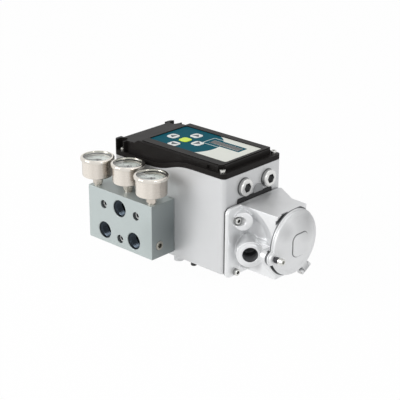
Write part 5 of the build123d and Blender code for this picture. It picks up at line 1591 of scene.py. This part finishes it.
@dataclass
class Studio:
    """White floor and surroundings, soft lamps and the camera."""

    azimuth: float = 43.452
    elevation: float = 21.984
    target: Point = (17.6, -20.8, 71.4)
    distance: float = 1416.9
    lens: float = 103.5
    sensor_width: float = 36.0
    shift_x: float = 0.0365
    sight: tuple[float, float] = (0.01, 50.0)
    floor_z: float = -19.0
    floor_reach: float = 6.0
    floor_white: float = 0.975
    daylight: float = 0.8
    sky_stops: tuple[tuple[float, Colour], ...] = ((0.0, (0.95, 0.95, 0.95)), (0.8, (0.5, 0.5, 0.5)))
    lamps: tuple[Softbox, ...] = (
        Softbox("lamp_front_left", (-0.7, -1.35, 0.75), 0.8, 13.5),
        Softbox("lamp_top", (0.2, 0.1, 1.5), 1.1, 2.0),
        Softbox("lamp_right", (1.5, -0.5, 0.5), 0.5, 3.0),
    )

    def build(self) -> None:
        """Build the studio."""
        self._surroundings()
        self._floor()
        for lamp in self.lamps:
            lamp.build(Vector(self.target) * MM)
        self._camera()

    def _surroundings(self) -> None:
        """White for the eye and in reflections, gentler as light."""
        world = bpy.data.worlds.new("studio")
        bpy.context.scene.world = world
        g = Graph(world)
        _, _, height = g.axes(g.node("ShaderNodeTexCoord", output="Generated"))
        sky = g.node("ShaderNodeValToRGB", {"stops": self.sky_stops}, {0: height}, "Color")
        light = g.node("ShaderNodeBackground", inputs={"Color": sky, "Strength": self.daylight})
        white = g.node("ShaderNodeBackground", inputs={"Color": WHITE, "Strength": 1.0})
        g.finish(g.node("ShaderNodeMixShader", inputs={0: self._looking(g), 1: light, 2: white}))

    def _looking(self, g: Graph) -> Value:
        """Whether a ray comes from the camera, off a gloss or through a pane.

        Args:
            g: The shader graph.

        Returns:
            1 where it does and 0 where not.
        """
        kinds = ("Camera", "Transmission", "Glossy")
        camera, clear, gloss = (g.node("ShaderNodeLightPath", output=f"Is {kind} Ray") for kind in kinds)
        return camera.above(clear).above(gloss)

    def _floor(self) -> None:
        """A large white floor that keeps a faint shadow."""
        mesh = bpy.data.meshes.new("floor")
        far = self.floor_reach
        z = self.floor_z * MM
        corners = [(-far, -far, z), (far, -far, z), (far, far, z), (-far, far, z)]
        mesh.from_pydata(corners, [], [(0, 1, 2, 3)])
        g = Graph.of_material("floor_white")
        plain = g.node("ShaderNodeBsdfDiffuse", inputs={"Color": WHITE})
        white = g.node("ShaderNodeEmission", inputs={"Color": WHITE, "Strength": 1.0})
        share = self._looking(g) * self.floor_white
        mesh.materials.append(g.finish(g.node("ShaderNodeMixShader", inputs={0: share, 1: plain, 2: white})))
        floor = bpy.data.objects.new("floor", mesh)
        bpy.context.scene.collection.objects.link(floor)

    def _camera(self) -> None:
        """Set the camera at the photographed angle."""
        azimuth = math.radians(self.azimuth - 90.0)
        elevation = math.radians(self.elevation)
        level = math.cos(elevation)
        away = Vector((math.cos(azimuth) * level, math.sin(azimuth) * level, math.sin(elevation)))
        data = bpy.data.cameras.new("camera")
        data.lens = self.lens
        data.sensor_width = self.sensor_width
        data.shift_x = self.shift_x
        data.clip_start, data.clip_end = self.sight
        camera = bpy.data.objects.new("camera", data)
        camera.location = (Vector(self.target) + away * self.distance) * MM
        camera.rotation_euler = (-away).to_track_quat("-Z", "Y").to_euler()
        bpy.context.scene.collection.objects.link(camera)
        bpy.context.scene.camera = camera


def main() -> None:
    """Build every sub-assembly and the studio."""
    logging.basicConfig(level=logging.INFO, format="%(name)s: %(message)s")
    bpy.context.scene.view_settings.view_transform = "Standard"
    Housing().build()
    KeypadCover().build()
    ManifoldBlock().build()
    for number, (x, y) in enumerate(GAUGES, start=1):
        Gauge(number, x, y).build()
    TerminalBox().build()
    TerminalLid().build()
    Drive().build()
    Innards().build()
    Studio().build()


if __name__ == "__main__":
    main()
